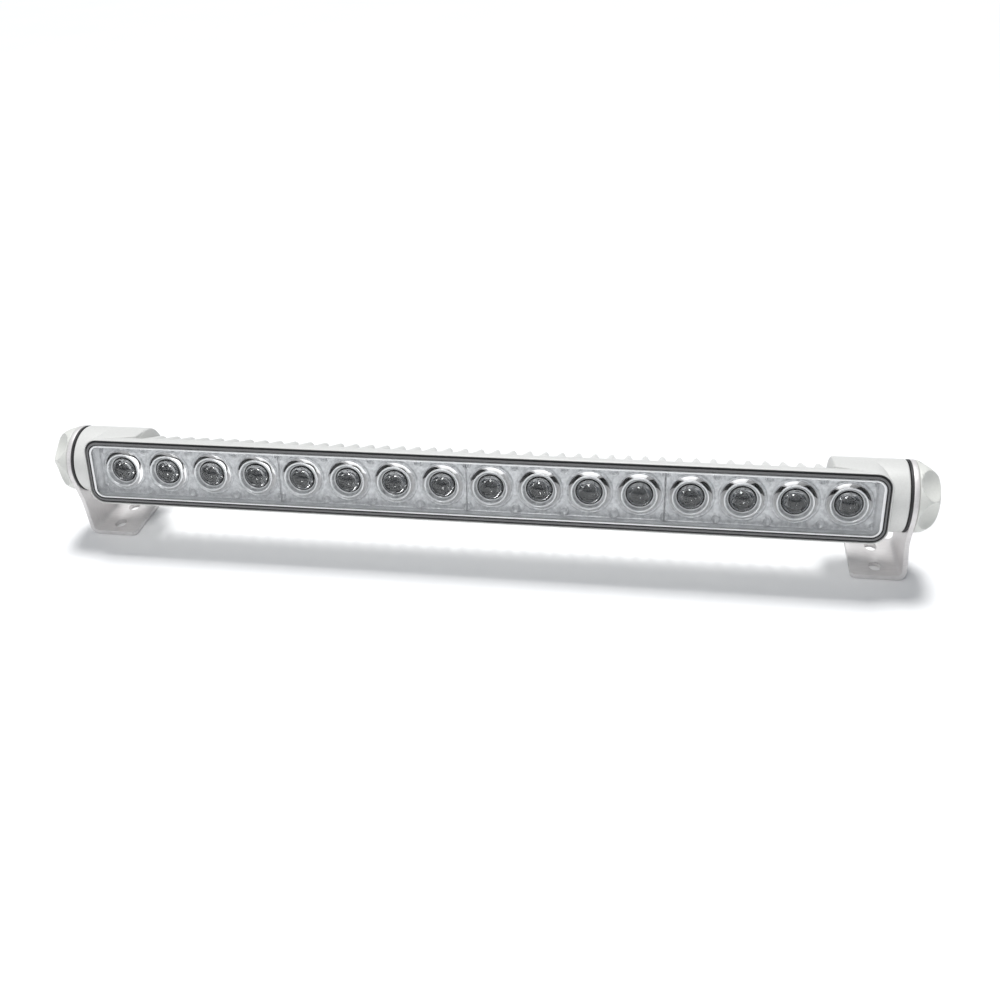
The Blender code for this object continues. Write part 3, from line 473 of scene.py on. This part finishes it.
def make_gasket():
    """The rubber round the cover: a low outer band, a groove and a raised grey bead."""
    black, grey = 0, 1
    clearance = 0.3
    inner = tuple(size + clearance for size in COVER_HALF)
    band = [(1.0, -21.7), (0.0, -21.7), (0.0, -23.6), (0.07, -23.9), (0.2, -23.9), (0.27, -23.6)]
    bead = [(0.33, -23.8), (0.38, -24.5), (0.46, -24.72), (0.7, -24.78), (0.84, -24.6), (0.9, -24.1),
            (1.0, -23.9)]
    rows = [rounded(blended(GASKET_HALF, inner, share), depth) for share, depth in band + bead]
    shape = Shape()
    shape.loops(rows, ring=True, finish=[black] * 7 + [grey] * 3 + [black] * 3)
    shape.piece("cover_gasket", LAMP, [RUBBER, GASKET], "lamp", ["lens_gasket"], 50.0)


# --------------------------------------------------------------------- optics

PLATE_LOOKS = [SILVER, POCKET_PAINTED_LIGHT, POCKET_PAINTED_SHADE, POCKET_GREY_PAINTED_GLOW]


def plate_depth(x, z, ends):
    """Front face of a silvered plate; x is measured from the nearest light."""
    depth = PLATE_FRONT
    depth -= 0.75 * bump(math.hypot(x, z) - 13.9, 1.3)      # the raised rim of the pocket
    for boss_x in (-LED_PITCH / 2, LED_PITCH / 2):
        for boss_z in (-14.0, 14.0):
            away = math.hypot(x - boss_x, z - boss_z)
            depth -= 0.9 * bump(away - 2.5, 0.9)            # a ring round each boss
            depth += 0.35 * bump(away, 1.6)                 # and the hollow in its middle
    depth -= 0.35 * bump(abs(z) - PLATE_HALF_HEIGHT, 0.9)   # beads along the long sides
    if ends[0]:
        depth -= 0.8 * bump(x + PLATE_END, 0.7)             # and at the plate's two ends
    if ends[1]:
        depth -= 0.8 * bump(x - PLATE_END, 0.7)
    return depth


def painted_reflection_look(centre, across, up, dark, lit, plain):
    """Painted reflection and shade: the finish the wall round one light shows, picked by its angle so
    that each light seems to reflect its own side of the bar.

    Angles are in degrees, anticlockwise from the right; turn is -1 to 1 along the bar.
    """
    turn = centre / (LED_PITCH * LED_COUNT / 2)
    around = math.degrees(math.atan2(up, across))
    # The sector with a painted highlight and glow; it moves with the light's place along the bar.
    painted_lit_from = 35 + 71 * turn - 24 * turn * turn
    painted_lit_to = 112 + 22 * turn
    if painted_lit_from < around < painted_lit_to:
        return lit
    # Sectors with painted shade; the rest is grey with a faint painted glow.
    painted_shade_upper_left = 120.0 + 22.0 * max(turn, 0.0) < around < 165.0
    painted_shade_upper_right = turn > 0.1 and 8.0 < around < 35.0 + 20.0 * turn
    return dark if painted_shade_upper_left or painted_shade_upper_right else plain


def plate_outline():
    """Points round one light's share of a plate, measured from the light."""
    side_steps = 36
    corners = ((1, -1), (1, 1), (-1, 1), (-1, -1))
    outline = []
    for (x0, z0), (x1, z1) in zip(corners, corners[1:] + corners[:1]):
        for step in range(side_steps):
            share = step / side_steps
            outline.append(((x0 + (x1 - x0) * share) * LED_PITCH / 2,
                            (z0 + (z1 - z0) * share) * PLATE_HALF_HEIGHT))
    return outline


def trimmed(x, ends):
    """Pull a plate's two ends in, which leaves a seam between neighbours."""
    seam_half = 0.15
    if x > PLATE_END and ends[1]:
        return x - seam_half
    if x < -PLATE_END and ends[0]:
        return x + seam_half
    return x


def add_pocket(shape, centre, ends):
    """One light's share of a plate: its face, its flared pocket, its back and its outer walls; the
    pocket's walls carry painted reflection, painted shade and a painted glow.
    """
    # Looks: silver, a painted highlight with a glow, painted shade, and grey with a faint painted glow.
    silver, lit, dark, grey = range(len(PLATE_LOOKS))
    painted_reflection_strip = lit            # faces of these strips get their looks one by one
    slack = 0.01
    face_steps = 22
    back_half_height = 14.0
    pocket = [(12.95, -17.55), (12.7, -17.1), (12.45, -16.4), (12.1, -15.0), (11.4, -13.0),
              (10.2, -10.9), (8.4, -8.6), (6.6, -6.9), (6.0, -6.5)]
    outline = plate_outline()
    rows = []
    for ring in range(face_steps + 1):
        row = []
        for x, z in outline:
            scale = 1.0 + (POCKET_MOUTH / math.hypot(x, z) - 1.0) * (ring / face_steps)
            face_x, face_z = trimmed(x * scale, ends), z * scale
            row.append((centre + face_x, plate_depth(face_x, face_z, ends), face_z))
        rows.append(row)
    for radius, depth in pocket:
        rows.append([(centre + radius * x / math.hypot(x, z), depth, radius * z / math.hypot(x, z))
                     for x, z in outline])
    rows.append([(centre + trimmed(x, ends), PLATE_BACK, z * back_half_height / PLATE_HALF_HEIGHT)
                 for x, z in outline])
    first_face = len(shape.faces)
    finish = [silver] * (face_steps + 1) + [painted_reflection_strip] * (len(pocket) - 1) + [silver]
    indices = shape.loops(rows, finish=finish)
    # Painted reflection and shade: each pocket-wall face takes its look by its angle round the light.
    for number in range(first_face, len(shape.faces)):
        if shape.finishes[number] == painted_reflection_strip:
            corner = shape.points[shape.faces[number][0]]
            shape.finishes[number] = painted_reflection_look(centre, corner[0] - centre, corner[2], dark, lit, grey)
    front, back = indices[0], indices[-1]
    for step, one in enumerate(outline):
        after = (step + 1) % len(outline)
        two = outline[after]
        on_long_side = min(abs(one[1]), abs(two[1])) > PLATE_HALF_HEIGHT - slack
        on_short_side = min(abs(one[0]), abs(two[0])) > LED_PITCH / 2 - slack
        if on_long_side or (on_short_side and ends[int(one[0] > 0)]):
            shape.face((front[step], front[after], back[after], back[step]), silver)


def make_plates():
    """Four silvered plates with a flared pocket round every light."""
    for module in range(MODULE_COUNT):
        shape = Shape()
        for light in range(MODULE_LEDS):
            centre = (module * MODULE_LEDS + light - (LED_COUNT - 1) / 2) * LED_PITCH
            add_pocket(shape, centre, (light == 0, light == MODULE_LEDS - 1))
        number = module + 1
        shape.piece(f"reflector_plate_{number}", LAMP, PLATE_LOOKS, "lamp",
                    [f"optic_module_{number}"], 60.0)


def make_surround():
    """Silvered wall that sweeps from the plates up to the cover."""
    rows = [rounded(half, depth) for half, depth in (
        ((247.0, 17.35, 2.0), -16.6), ((247.1, 17.4, 2.2), -17.2), ((247.7, 17.45, 3.2), -18.0),
        ((248.8, 17.5, 4.4), -18.9), ((249.9, 17.55, 5.2), -19.9), ((250.7, 17.6, 5.7), -20.8),
        ((251.0, 17.65, 5.8), -21.6), ((251.3, 17.75, 6.0), -21.6), ((251.3, 17.75, 6.0), -16.6),
    )]
    shape = Shape()
    shape.loops(rows, ring=True)
    names = [f"optic_module_{number + 1}" for number in range(MODULE_COUNT)]
    shape.piece("reflector_surround", LAMP, [SILVER_SMOOTH], "lamp", names, 50.0)


def make_optics():
    """Clear collimators: a dark-looking domed centre, a pale cup wall, a rim in painted highlight, a
    painted glint low in each cup, and painted reflection, shade and glow on the outer cone.
    """
    looks = [OPTIC_WALL, OPTIC_DARK_AND_PAINTED_SHADE, DOME, OPTIC_RIM_PAINTED_HIGHLIGHT, POCKET_PAINTED_LIGHT, POCKET_GREY_PAINTED_GLOW]
    # Looks: the dark one is the dark inside and painted shade, the bright one a painted highlight, the
    # lit one a painted reflection with a glow, the grey one a faint painted glow.
    wall, depth, skin, bright, lit, grey = range(len(looks))
    painted_glint, painted_reflection_strip = lit, grey       # strips whose faces get their looks one by one
    cup = [(-13.4, 0.0), (-13.5, 2.0), (-14.0, 4.0), (-15.0, 5.6), (-16.0, 6.4), (-17.0, 7.2),
           (-17.5, 7.6)]
    inner_wall = [(-17.4, 7.9), (-17.7, 8.5), (-18.5, 9.1), (-19.4, 9.7)]
    rim = [(-20.1, 10.15), (-20.45, 10.5), (-20.6, 10.8), (-20.5, 11.05), (-20.2, 11.15)]
    outside = [(-19.6, 11.15), (-14.0, 8.45), (-8.4, 5.7), (-6.7, 5.7), (-6.7, 0.0)]
    profile = cup + inner_wall + rim + outside
    finish = [depth] * 4 + [painted_glint] * 2 + [depth, depth, bright, wall]
    finish += [wall] + [bright] * 4 + [painted_reflection_strip] * 3 + [depth] * 2
    dome_front, curve, dome_edge = -21.4, 10.6, 47.0
    dome = []
    for step in range(13):
        angle = math.radians(dome_edge * step / 12)
        dome.append((dome_front + curve * (1 - math.cos(angle)), curve * math.sin(angle)))
    dome += [(-17.6, 7.7), (-16.2, 6.3), (-14.9, 5.0), (-13.8, 3.4), (-13.55, 0.0)]
    # Faces of the cup's lip within this swing of straight down get a painted glint in the bright rim
    # look.
    painted_glint_reach = math.radians(33.0)
    for light in range(LED_COUNT):
        centre = ((light - (LED_COUNT - 1) / 2) * LED_PITCH, 0.0)
        shape = Shape()
        shape.turned(profile, SMALL_ROUND_STEPS, "Y", centre, finish=finish)
        for number, (corners, used) in enumerate(zip(shape.faces, shape.finishes)):
            if used == painted_glint:
                middle = sum((Vector(shape.points[corner]) for corner in corners), Vector())
                middle /= len(corners)
                swing = abs(math.atan2(middle.x - centre[0], -middle.z))
                shape.finishes[number] = bright if swing < painted_glint_reach else depth
            # Outer cone: painted reflection and shade, chosen by angle round the light.
            if used == painted_reflection_strip:
                x, _, z = shape.points[corners[0]]
                shape.finishes[number] = painted_reflection_look(centre[0], x - centre[0], z, depth, lit, grey)
        shape.turned(dome, SMALL_ROUND_STEPS, "Y", centre, finish=skin)
        name = f"{light + 1:02d}"
        shape.piece(f"optic_lens_{name}", LAMP, looks, "lamp", [f"optic_{name}"], 50.0)


# ------------------------------------------------------------------- clamping

def make_ring(side, word):
    """A friction ring with a shallow groove round its middle."""
    bore = 12.1
    profile = [(265.9, bore), (265.9, 21.8), (266.0, 22.1), (266.2, 22.19), (266.5, 22.1),
               (266.6, 22.1), (266.9, 22.19), (267.1, 22.1), (267.2, 21.8), (267.2, bore)]
    shape = Shape()
    shape.turned([(side * along, radius) for along, radius in profile], ROUND_STEPS, "X", ring=True)
    shape.piece(f"{word}_rubber_ring", LAMP, [RUBBER], "lamp", [f"{word}_friction_ring"],
                50.0)


def make_washer(side, word):
    bore = 4.7
    profile = [(270.5, bore), (270.5, 16.7), (270.6, 16.95), (270.9, 17.0), (271.2, 16.95),
               (271.3, 16.7), (271.3, bore)]
    shape = Shape()
    shape.turned([(side * along, radius) for along, radius in profile], ROUND_STEPS, "X", ring=True)
    shape.piece(f"{word}_steel_washer", LAMP, [STEEL_PLAIN], f"{word}_clamp", [f"{word}_thrust_washer"])


def scooped(point, side):
    """Move a point of the knob's skin inwards to the wall of a finger scoop."""
    scoops, first_turn = 6, 42.0
    along, reach, radius = 286.0, 27.3, 15.2        # where the balls that cut the scoops lie
    core = Vector((side * 270.5, 0.0, 0.0))
    best = Vector(point)
    for scoop in range(scoops):
        angle = math.radians(first_turn + 360.0 / scoops * scoop)
        centre = Vector((side * along, -reach * math.cos(angle), reach * math.sin(angle)))
        if (best - centre).length >= radius:
            continue
        ray = (core - best).normalized()
        offset = best - centre
        middle = offset.dot(ray)
        travel = -middle + math.sqrt(middle * middle - offset.length_squared + radius * radius)
        best = best + ray * travel
    return tuple(best)


def make_knob(side, word):
    """A domed hand knob with six finger scoops."""
    start, depth, radius = 270.6, 14.89, 22.0
    recess, recess_radius = 0.9, 17.4       # the washer sits in it
    bore, bore_depth = 8.4, 9.9
    dome_root, dome_steps, dome_power, flank_power = 3.9, 40, 1.25, 0.62
    segments = 240
    base = [(recess, bore), (recess, recess_radius), (0.0, recess_radius), (0.0, radius - 0.9),
            (0.12, radius - 0.5), (0.4, radius - 0.15), (0.8, radius)]
    dome = [(1.7, radius), (2.9, radius)]
    for step in range(dome_steps + 1):
        angle = math.radians(90.0 * step / dome_steps)
        along = dome_root + (depth - dome_root) * math.sin(angle) ** dome_power
        dome.append((along, radius * math.cos(angle) ** flank_power if step < dome_steps else 0.0))
    socket = [(bore_depth, 0.0), (bore_depth, bore)]
    rows = []
    for part, is_skin in ((base, False), (dome, True), (socket, False)):
        for along, ring in part:
            row = []
            for step in range(segments):
                angle = math.tau * step / segments
                point = (side * (start + along), ring * math.cos(angle), ring * math.sin(angle))
                row.append(scooped(point, side) if is_skin else point)
            rows.append(row)
    shape = Shape()
    shape.loops(rows, ring=True)
    shape.piece(f"{word}_scooped_knob", LAMP, [KNOB_PLASTIC], f"{word}_hand_knob", [f"{word}_knob"],
                28.0)


def foot_path():
    """The middle of the bent sheet, seen along Y: flange, bend, leg leaning inwards, upright eye."""
    half = SHEET / 2
    flange_end = 240.5
    bend_reach, bend_radius = 5.5, 4.1
    leg_start, leg_rise, bow = 7.2, 26.0, 0.5
    bend = FOOT_OUTER - bend_reach
    leg = FOOT_OUTER - half
    path = [(flange_end + (bend - flange_end) * step / 6, half) for step in range(7)]
    for step in range(1, 11):
        angle = math.radians(-90.0 + 9.0 * step)
        path.append((bend + bend_radius * math.cos(angle), bend_reach + bend_radius * math.sin(angle)))
    path.append((leg, leg_start))
    for step in range(1, 12):
        share = step / 12
        lean = share + bow * share * (1 - share) * (2 * share - 1)
        path.append((leg + (EYE_MIDDLE - leg) * lean, leg_start + leg_rise * share))
    path += [(EYE_MIDDLE, height) for height in (33.2, 44.0, 54.9, 66.0, 78.0)]
    return path


def inside(point, outline):
    """Whether an outline goes round a point."""
    hit = False
    for (x0, y0), (x1, y1) in zip(outline, outline[1:] + outline[:1]):
        if (y0 > point[1]) != (y1 > point[1]):
            if point[0] < x0 + (x1 - x0) * (point[1] - y0) / (y1 - y0):
                hit = not hit
    return hit


def arc(centre, size, start, end, steps):
    """Points along an arc, both ends included; angles are in degrees."""
    spots = []
    for step in range(steps + 1):
        angle = math.radians(start + (end - start) * step / steps)
        spots.append((centre[0] + size * math.cos(angle), centre[1] + size * math.sin(angle)))
    return spots


def foot_blank(eye, shoulder):
    """The flat sheet, as (length, depth) outlines: its edge, then its holes."""
    eye_radius, corner = 22.2, 3.5
    stud_hole = 4.5
    slot_place, slot_radius, slot_straight = 15.5, 3.7, 0.8

    def tangent(depth, sign):
        """The angle at which an edge that leaves the shoulder touches the round eye."""
        away = math.hypot(eye - shoulder, depth)
        swing = math.acos(eye_radius / away)
        return math.degrees(math.atan2(depth, shoulder - eye) + sign * swing)

    outline = arc((corner, FOOT_FRONT + corner), corner, 180, 270, 6)
    outline += [(shoulder, FOOT_FRONT)]
    start = tangent(FOOT_FRONT, 1)
    end = tangent(FOOT_BACK, -1)
    while end < start:
        end += 360.0
    outline += arc((eye, 0.0), eye_radius, start, end, 56)
    outline += [(shoulder, FOOT_BACK)] + arc((corner, FOOT_BACK - corner), corner, 90, 180, 6)
    holes = [arc((eye, 0.0), stud_hole, 0, 360, 32)[:-1]]
    for depth in (-2.0, 19.5):
        upper = arc((slot_place, depth + slot_straight), slot_radius, 0, 180, 12)
        holes.append(upper + arc((slot_place, depth - slot_straight), slot_radius, 180, 360, 12))
    return outline, holes


def cut_blank(outline, holes, fold_lengths):
    """Triangles of the flat sheet, with a line across it wherever it folds."""
    past, tolerance = 20.0, 1e-4
    spots, edges = [], []
    for loop in [outline] + holes:
        base = len(spots)
        spots += [Vector(spot) for spot in loop]
        edges += [(base + step, base + (step + 1) % len(loop)) for step in range(len(loop))]
    for length in fold_lengths:
        base = len(spots)
        spots += [Vector((length, FOOT_FRONT - past)), Vector((length, FOOT_BACK + past))]
        edges.append((base, base + 1))
    spots, _, triangles, _, _, _ = delaunay_2d_cdt(spots, edges, [], 0, tolerance)
    kept = []
    for triangle in triangles:
        middle = sum((spots[index] for index in triangle), Vector((0.0, 0.0))) / len(triangle)
        if inside(middle, outline) and not any(inside(middle, hole) for hole in holes):
            kept.append(tuple(triangle))
    return spots, kept


def make_foot(side, word):
    """Bent stainless sheet, cut flat with its slots and eye and then folded."""
    edge_radius = 0.32
    nearby = 0.25                   # how far to each side the fold's slope is read
    above_bend, shoulder_height = 5.0, 8.0
    path = foot_path()
    lengths = [0.0]
    for first, second in zip(path, path[1:]):
        lengths.append(lengths[-1] + math.dist(first, second))
    length_at = [(height, length) for (_, height), length in zip(path, lengths)
                 if height > above_bend]
    eye, shoulder = between(length_at, AXIS_HEIGHT), between(length_at, shoulder_height)
    outline, holes = foot_blank(eye, shoulder)
    spots, kept = cut_blank(outline, holes, lengths[1:-1])
    along = [(length, x) for length, (x, _) in zip(lengths, path)]
    upward = [(length, z) for length, (_, z) in zip(lengths, path)]

    def folded(spot, lift):
        """Where a spot of the flat sheet comes to lie, lifted off the sheet's middle."""
        before = max(spot[0] - nearby, 0.0)
        beyond = min(spot[0] + nearby, lengths[-1])
        run = between(along, beyond) - between(along, before)
        rise = between(upward, beyond) - between(upward, before)
        size = math.hypot(run, rise)
        x = between(along, spot[0]) - rise / size * lift
        z = between(upward, spot[0]) + run / size * lift
        return (side * x, spot[1], z)

    used = sorted({index for triangle in kept for index in triangle})
    order = {index: number for number, index in enumerate(used)}
    count = len(used)
    points = [folded(spots[index], SHEET / 2) for index in used]
    points += [folded(spots[index], -SHEET / 2) for index in used]
    faces = []
    uses = {}
    for triangle in kept:
        corners = [order[index] for index in triangle]
        faces.append(tuple(corners))
        faces.append(tuple(number + count for number in reversed(corners)))
        for first, second in zip(corners, corners[1:] + corners[:1]):
            key = (min(first, second), max(first, second))
            uses[key] = uses.get(key, 0) + 1
    rims = [key for key, times in uses.items() if times == 1]
    faces += [(first, second, second + count, first + count) for first, second in rims]
    mesh = bpy.data.meshes.new(f"{word}_bent_foot")
    mesh.from_pydata([UPRIGHT @ Vector(point) for point in points], [], faces)
    work = bmesh.new()
    work.from_mesh(mesh)
    bmesh.ops.recalc_face_normals(work, faces=work.faces)
    sharp = [edge for edge in work.edges if len(edge.link_faces) == 2
             and edge.calc_face_angle(0.0) > math.radians(60.0)]
    bmesh.ops.bevel(work, geom=sharp, offset=edge_radius * MM, segments=2, profile=0.5, affect="EDGES",
                    clamp_overlap=True)
    work.to_mesh(mesh)
    work.free()
    shown(f"{word}_bent_foot", mesh, [STEEL], f"{word}_foot", [f"{word}_bracket"], 32.0)


# -------------------------------------------------------------- rear fittings

def round_row(centre, depth, reach):
    """A closed row behind the bar; reach gives the radius at an angle."""
    row = []
    for step in range(ROUND_STEPS):
        angle = math.tau * step / ROUND_STEPS
        radius = reach(angle)
        row.append((centre[0] + radius * math.cos(angle), depth, centre[1] + radius * math.sin(angle)))
    return row


def make_gland_body():
    """A hexagon with rounded corners, and a hollow neck that takes the nut."""
    hexagon_share = 0.93        # half the width across the flats, against the corners' radius

    def hexagon(angle, size):
        share = hexagon_share / math.cos((angle + math.pi / 6) % (math.pi / 3) - math.pi / 6)
        return size * min(share, 1.0)

    rows = []
    for depth, size in ((22.55, 8.2), (22.8, 8.4), (25.7, 8.4), (26.0, 8.2)):
        rows.append(round_row(GLAND_PLACE, depth, lambda angle: hexagon(angle, size)))
    neck = [(26.0, 5.6), (33.0, 5.6), (33.0, 4.4), (27.0, 4.4), (27.0, 3.2), (14.0, 3.2), (14.0, 6.0),
            (22.55, 6.0)]
    for depth, radius in neck:
        rows.append(round_row(GLAND_PLACE, depth, lambda angle: radius))
    shape = Shape()
    shape.loops(rows, ring=True)
    shape.piece("cable_gland_body", LAMP, [KNOB_PLASTIC], "lamp", ["gland_body"])


def make_gland_nut():
    """A domed cap nut with sixteen grip ribs."""
    ribs, rib_share = 16, -0.2
    profile = [(26.3, 7.5, 0.0), (26.6, 7.75, 0.25), (32.6, 7.75, 0.25), (33.6, 7.7, 0.1),
               (35.6, 7.3, 0.0), (37.3, 6.6, 0.0), (38.1, 5.7, 0.0), (38.1, 3.5, 0.0),
               (33.8, 3.5, 0.0), (33.8, 5.9, 0.0), (26.3, 5.9, 0.0)]
    rows = []
    for depth, radius, ridge in profile:
        def ribbed(angle):
            return radius + ridge * (1 if math.cos(ribs * angle) > rib_share else -1)
        rows.append(round_row(GLAND_PLACE, depth, ribbed))
    shape = Shape()
    shape.loops(rows, ring=True)
    shape.piece("cable_gland_nut", LAMP, [KNOB_PLASTIC], "lamp", ["gland_nut"])


def make_gland_plug():
    """The rubber plug that closes the gland while no cable is in it."""
    plug_steps = 48
    profile = [(27.3, 0.0), (27.3, 4.1), (32.9, 4.1), (33.2, 3.8), (33.4, 3.2), (33.1, 1.6), (33.1, 0.0)]
    shape = Shape()
    shape.turned(profile, plug_steps, "Y", GLAND_PLACE)
    shape.piece("cable_gland_plug", LAMP, [RUBBER], "lamp", ["gland_plug"])


def make_breather():
    """A flat round plug with six notches round its rim."""
    notches, notch_depth, notch_share = 6, 0.35, 0.75
    profile = [(14.0, 0.0, 0), (14.0, 3.0, 0), (22.55, 3.0, 0), (22.55, 6.0, 0), (22.7, 6.2, 0),
               (24.0, 6.2, 1), (24.6, 6.0, 1), (25.0, 5.6, 0), (25.2, 5.0, 0), (25.2, 0.0, 0)]
    rows = []
    for depth, radius, notched in profile:
        def notch(angle):
            return radius - (notch_depth if notched and math.cos(notches * angle) > notch_share else 0.0)
        rows.append(round_row(VENT_PLACE, depth, notch))
    shape = Shape()
    shape.loops(rows)
    shape.piece("breather_plug", LAMP, [DARK], "lamp", ["vent_plug"])


def finish_inner_nodes():
    """Pieces inside the housing keep their plain shapes and get real surfaces."""
    for name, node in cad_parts.items():
        chosen = None
        if name.startswith(("led_board", "driver_board")):
            chosen = BOARD
        elif name.startswith("board_screw") or name.endswith("_stud"):
            chosen = STEEL_PLAIN
        elif name.startswith(("driver_choke", "driver_capacitor")):
            chosen = DARK
        elif name == "thermal_pad":
            chosen = PAD
        elif name.endswith("_insert"):
            chosen = BRASS
        if chosen:
            node.data.materials.clear()
            node.data.materials.append(chosen)


# ------------------------------------------------------ stage, lights, camera

def make_stage():
    """A plain pale floor just under the feet, and a dim, faintly blue sky."""
    size, steps, drop = 6.0, 12, 0.0004
    points = [(size * (column / steps * 2 - 1), size * (row / steps * 2 - 1), -drop)
              for row in range(steps + 1) for column in range(steps + 1)]
    faces = []
    for row in range(steps):
        for column in range(steps):
            corner = row * (steps + 1) + column
            faces.append((corner, corner + 1, corner + steps + 2, corner + steps + 1))
    mesh = bpy.data.meshes.new("studio_floor")
    mesh.from_pydata(points, [], faces)
    floor = bpy.data.objects.new("studio_floor", mesh)
    bpy.context.scene.collection.objects.link(floor)
    surface = textured(look("studio_white", (0.97, 0.97, 0.975), 0.9, Specular_IOR_Level=0.1),
                       (0.965, 0.967, 0.972), (0.978, 0.98, 0.985), 6.0)
    mesh.materials.append(surface)

    world = bpy.data.worlds.new("studio")
    bpy.context.scene.world = world
    world.use_nodes = True
    background = world.node_tree.nodes["Background"]
    background.inputs["Color"].default_value = (0.86, 0.92, 1.0, 1.0)
    background.inputs["Strength"].default_value = 0.22


def aim(made, location, target):
    """Place a light and point it at its target."""
    made.location = location
    made.rotation_mode = "QUATERNION"
    made.rotation_quaternion = (Vector(target) - Vector(location)).to_track_quat("-Z", "Y")


def make_lights():
    """A broad overhead sun, and two small softboxes from the front and the left."""
    middle = (0.0, 0.0, 0.05)
    data = bpy.data.lights.new("overhead", "SUN")
    data.energy = 2.75
    data.angle = math.radians(18.0)
    made = bpy.data.objects.new("overhead", data)
    bpy.context.scene.collection.objects.link(made)
    aim(made, (-0.03, 0.3, 1.1), (0.0, 0.0, 0.0))
    for name, location, size, power in (
        ("front_softbox", (-0.1, -0.95, 1.05), (0.3, 0.24), 4.4),
        ("left_softbox", (-1.2, -0.9, 0.75), (0.2, 0.2), 1.8),
    ):
        data = bpy.data.lights.new(name, "AREA")
        data.shape = "RECTANGLE"
        data.size, data.size_y = size
        data.energy = power
        made = bpy.data.objects.new(name, data)
        bpy.context.scene.collection.objects.link(made)
        aim(made, location, middle)


def make_camera():
    yaw, pitch, roll = math.radians(11.11), math.radians(33.06), math.radians(-3.25)
    place = Vector((0.12926, -0.573213, 0.41435))
    forward = Vector((-math.sin(yaw) * math.cos(pitch), math.cos(yaw) * math.cos(pitch),
                      -math.sin(pitch)))
    level = Vector((math.cos(yaw), math.sin(yaw), 0.0))
    up = level.cross(forward)
    right = level * math.cos(roll) + up * math.sin(roll)
    top = up * math.cos(roll) - level * math.sin(roll)
    data = bpy.data.cameras.new("camera")
    data.lens = 38.24
    data.sensor_width = 36.0
    data.clip_start = 0.01
    camera = bpy.data.objects.new("camera", data)
    bpy.context.scene.collection.objects.link(camera)
    camera.matrix_world = Matrix((
        (right.x, top.x, -forward.x, place.x),
        (right.y, top.y, -forward.y, place.y),
        (right.z, top.z, -forward.z, place.z),
        (0.0, 0.0, 0.0, 1.0),
    ))
    bpy.context.scene.camera = camera
    bpy.context.scene.view_settings.view_transform = "Standard"


make_frame()
make_finned_body()
make_cover()
make_gasket()
make_plates()
make_surround()
make_optics()
make_gland_body()
make_gland_nut()
make_gland_plug()
make_breather()
make_rear_boss("left", GLAND_PLACE, 9.0)
make_rear_boss("right", VENT_PLACE, 6.8)
for side, word in ((-1, "left"), (1, "right")):
    make_barrel(side, word)
    make_shoulder(side, word)
    make_ring(side, word)
    make_washer(side, word)
    make_knob(side, word)
    make_foot(side, word)
finish_inner_nodes()
make_stage()
make_lights()
make_camera()
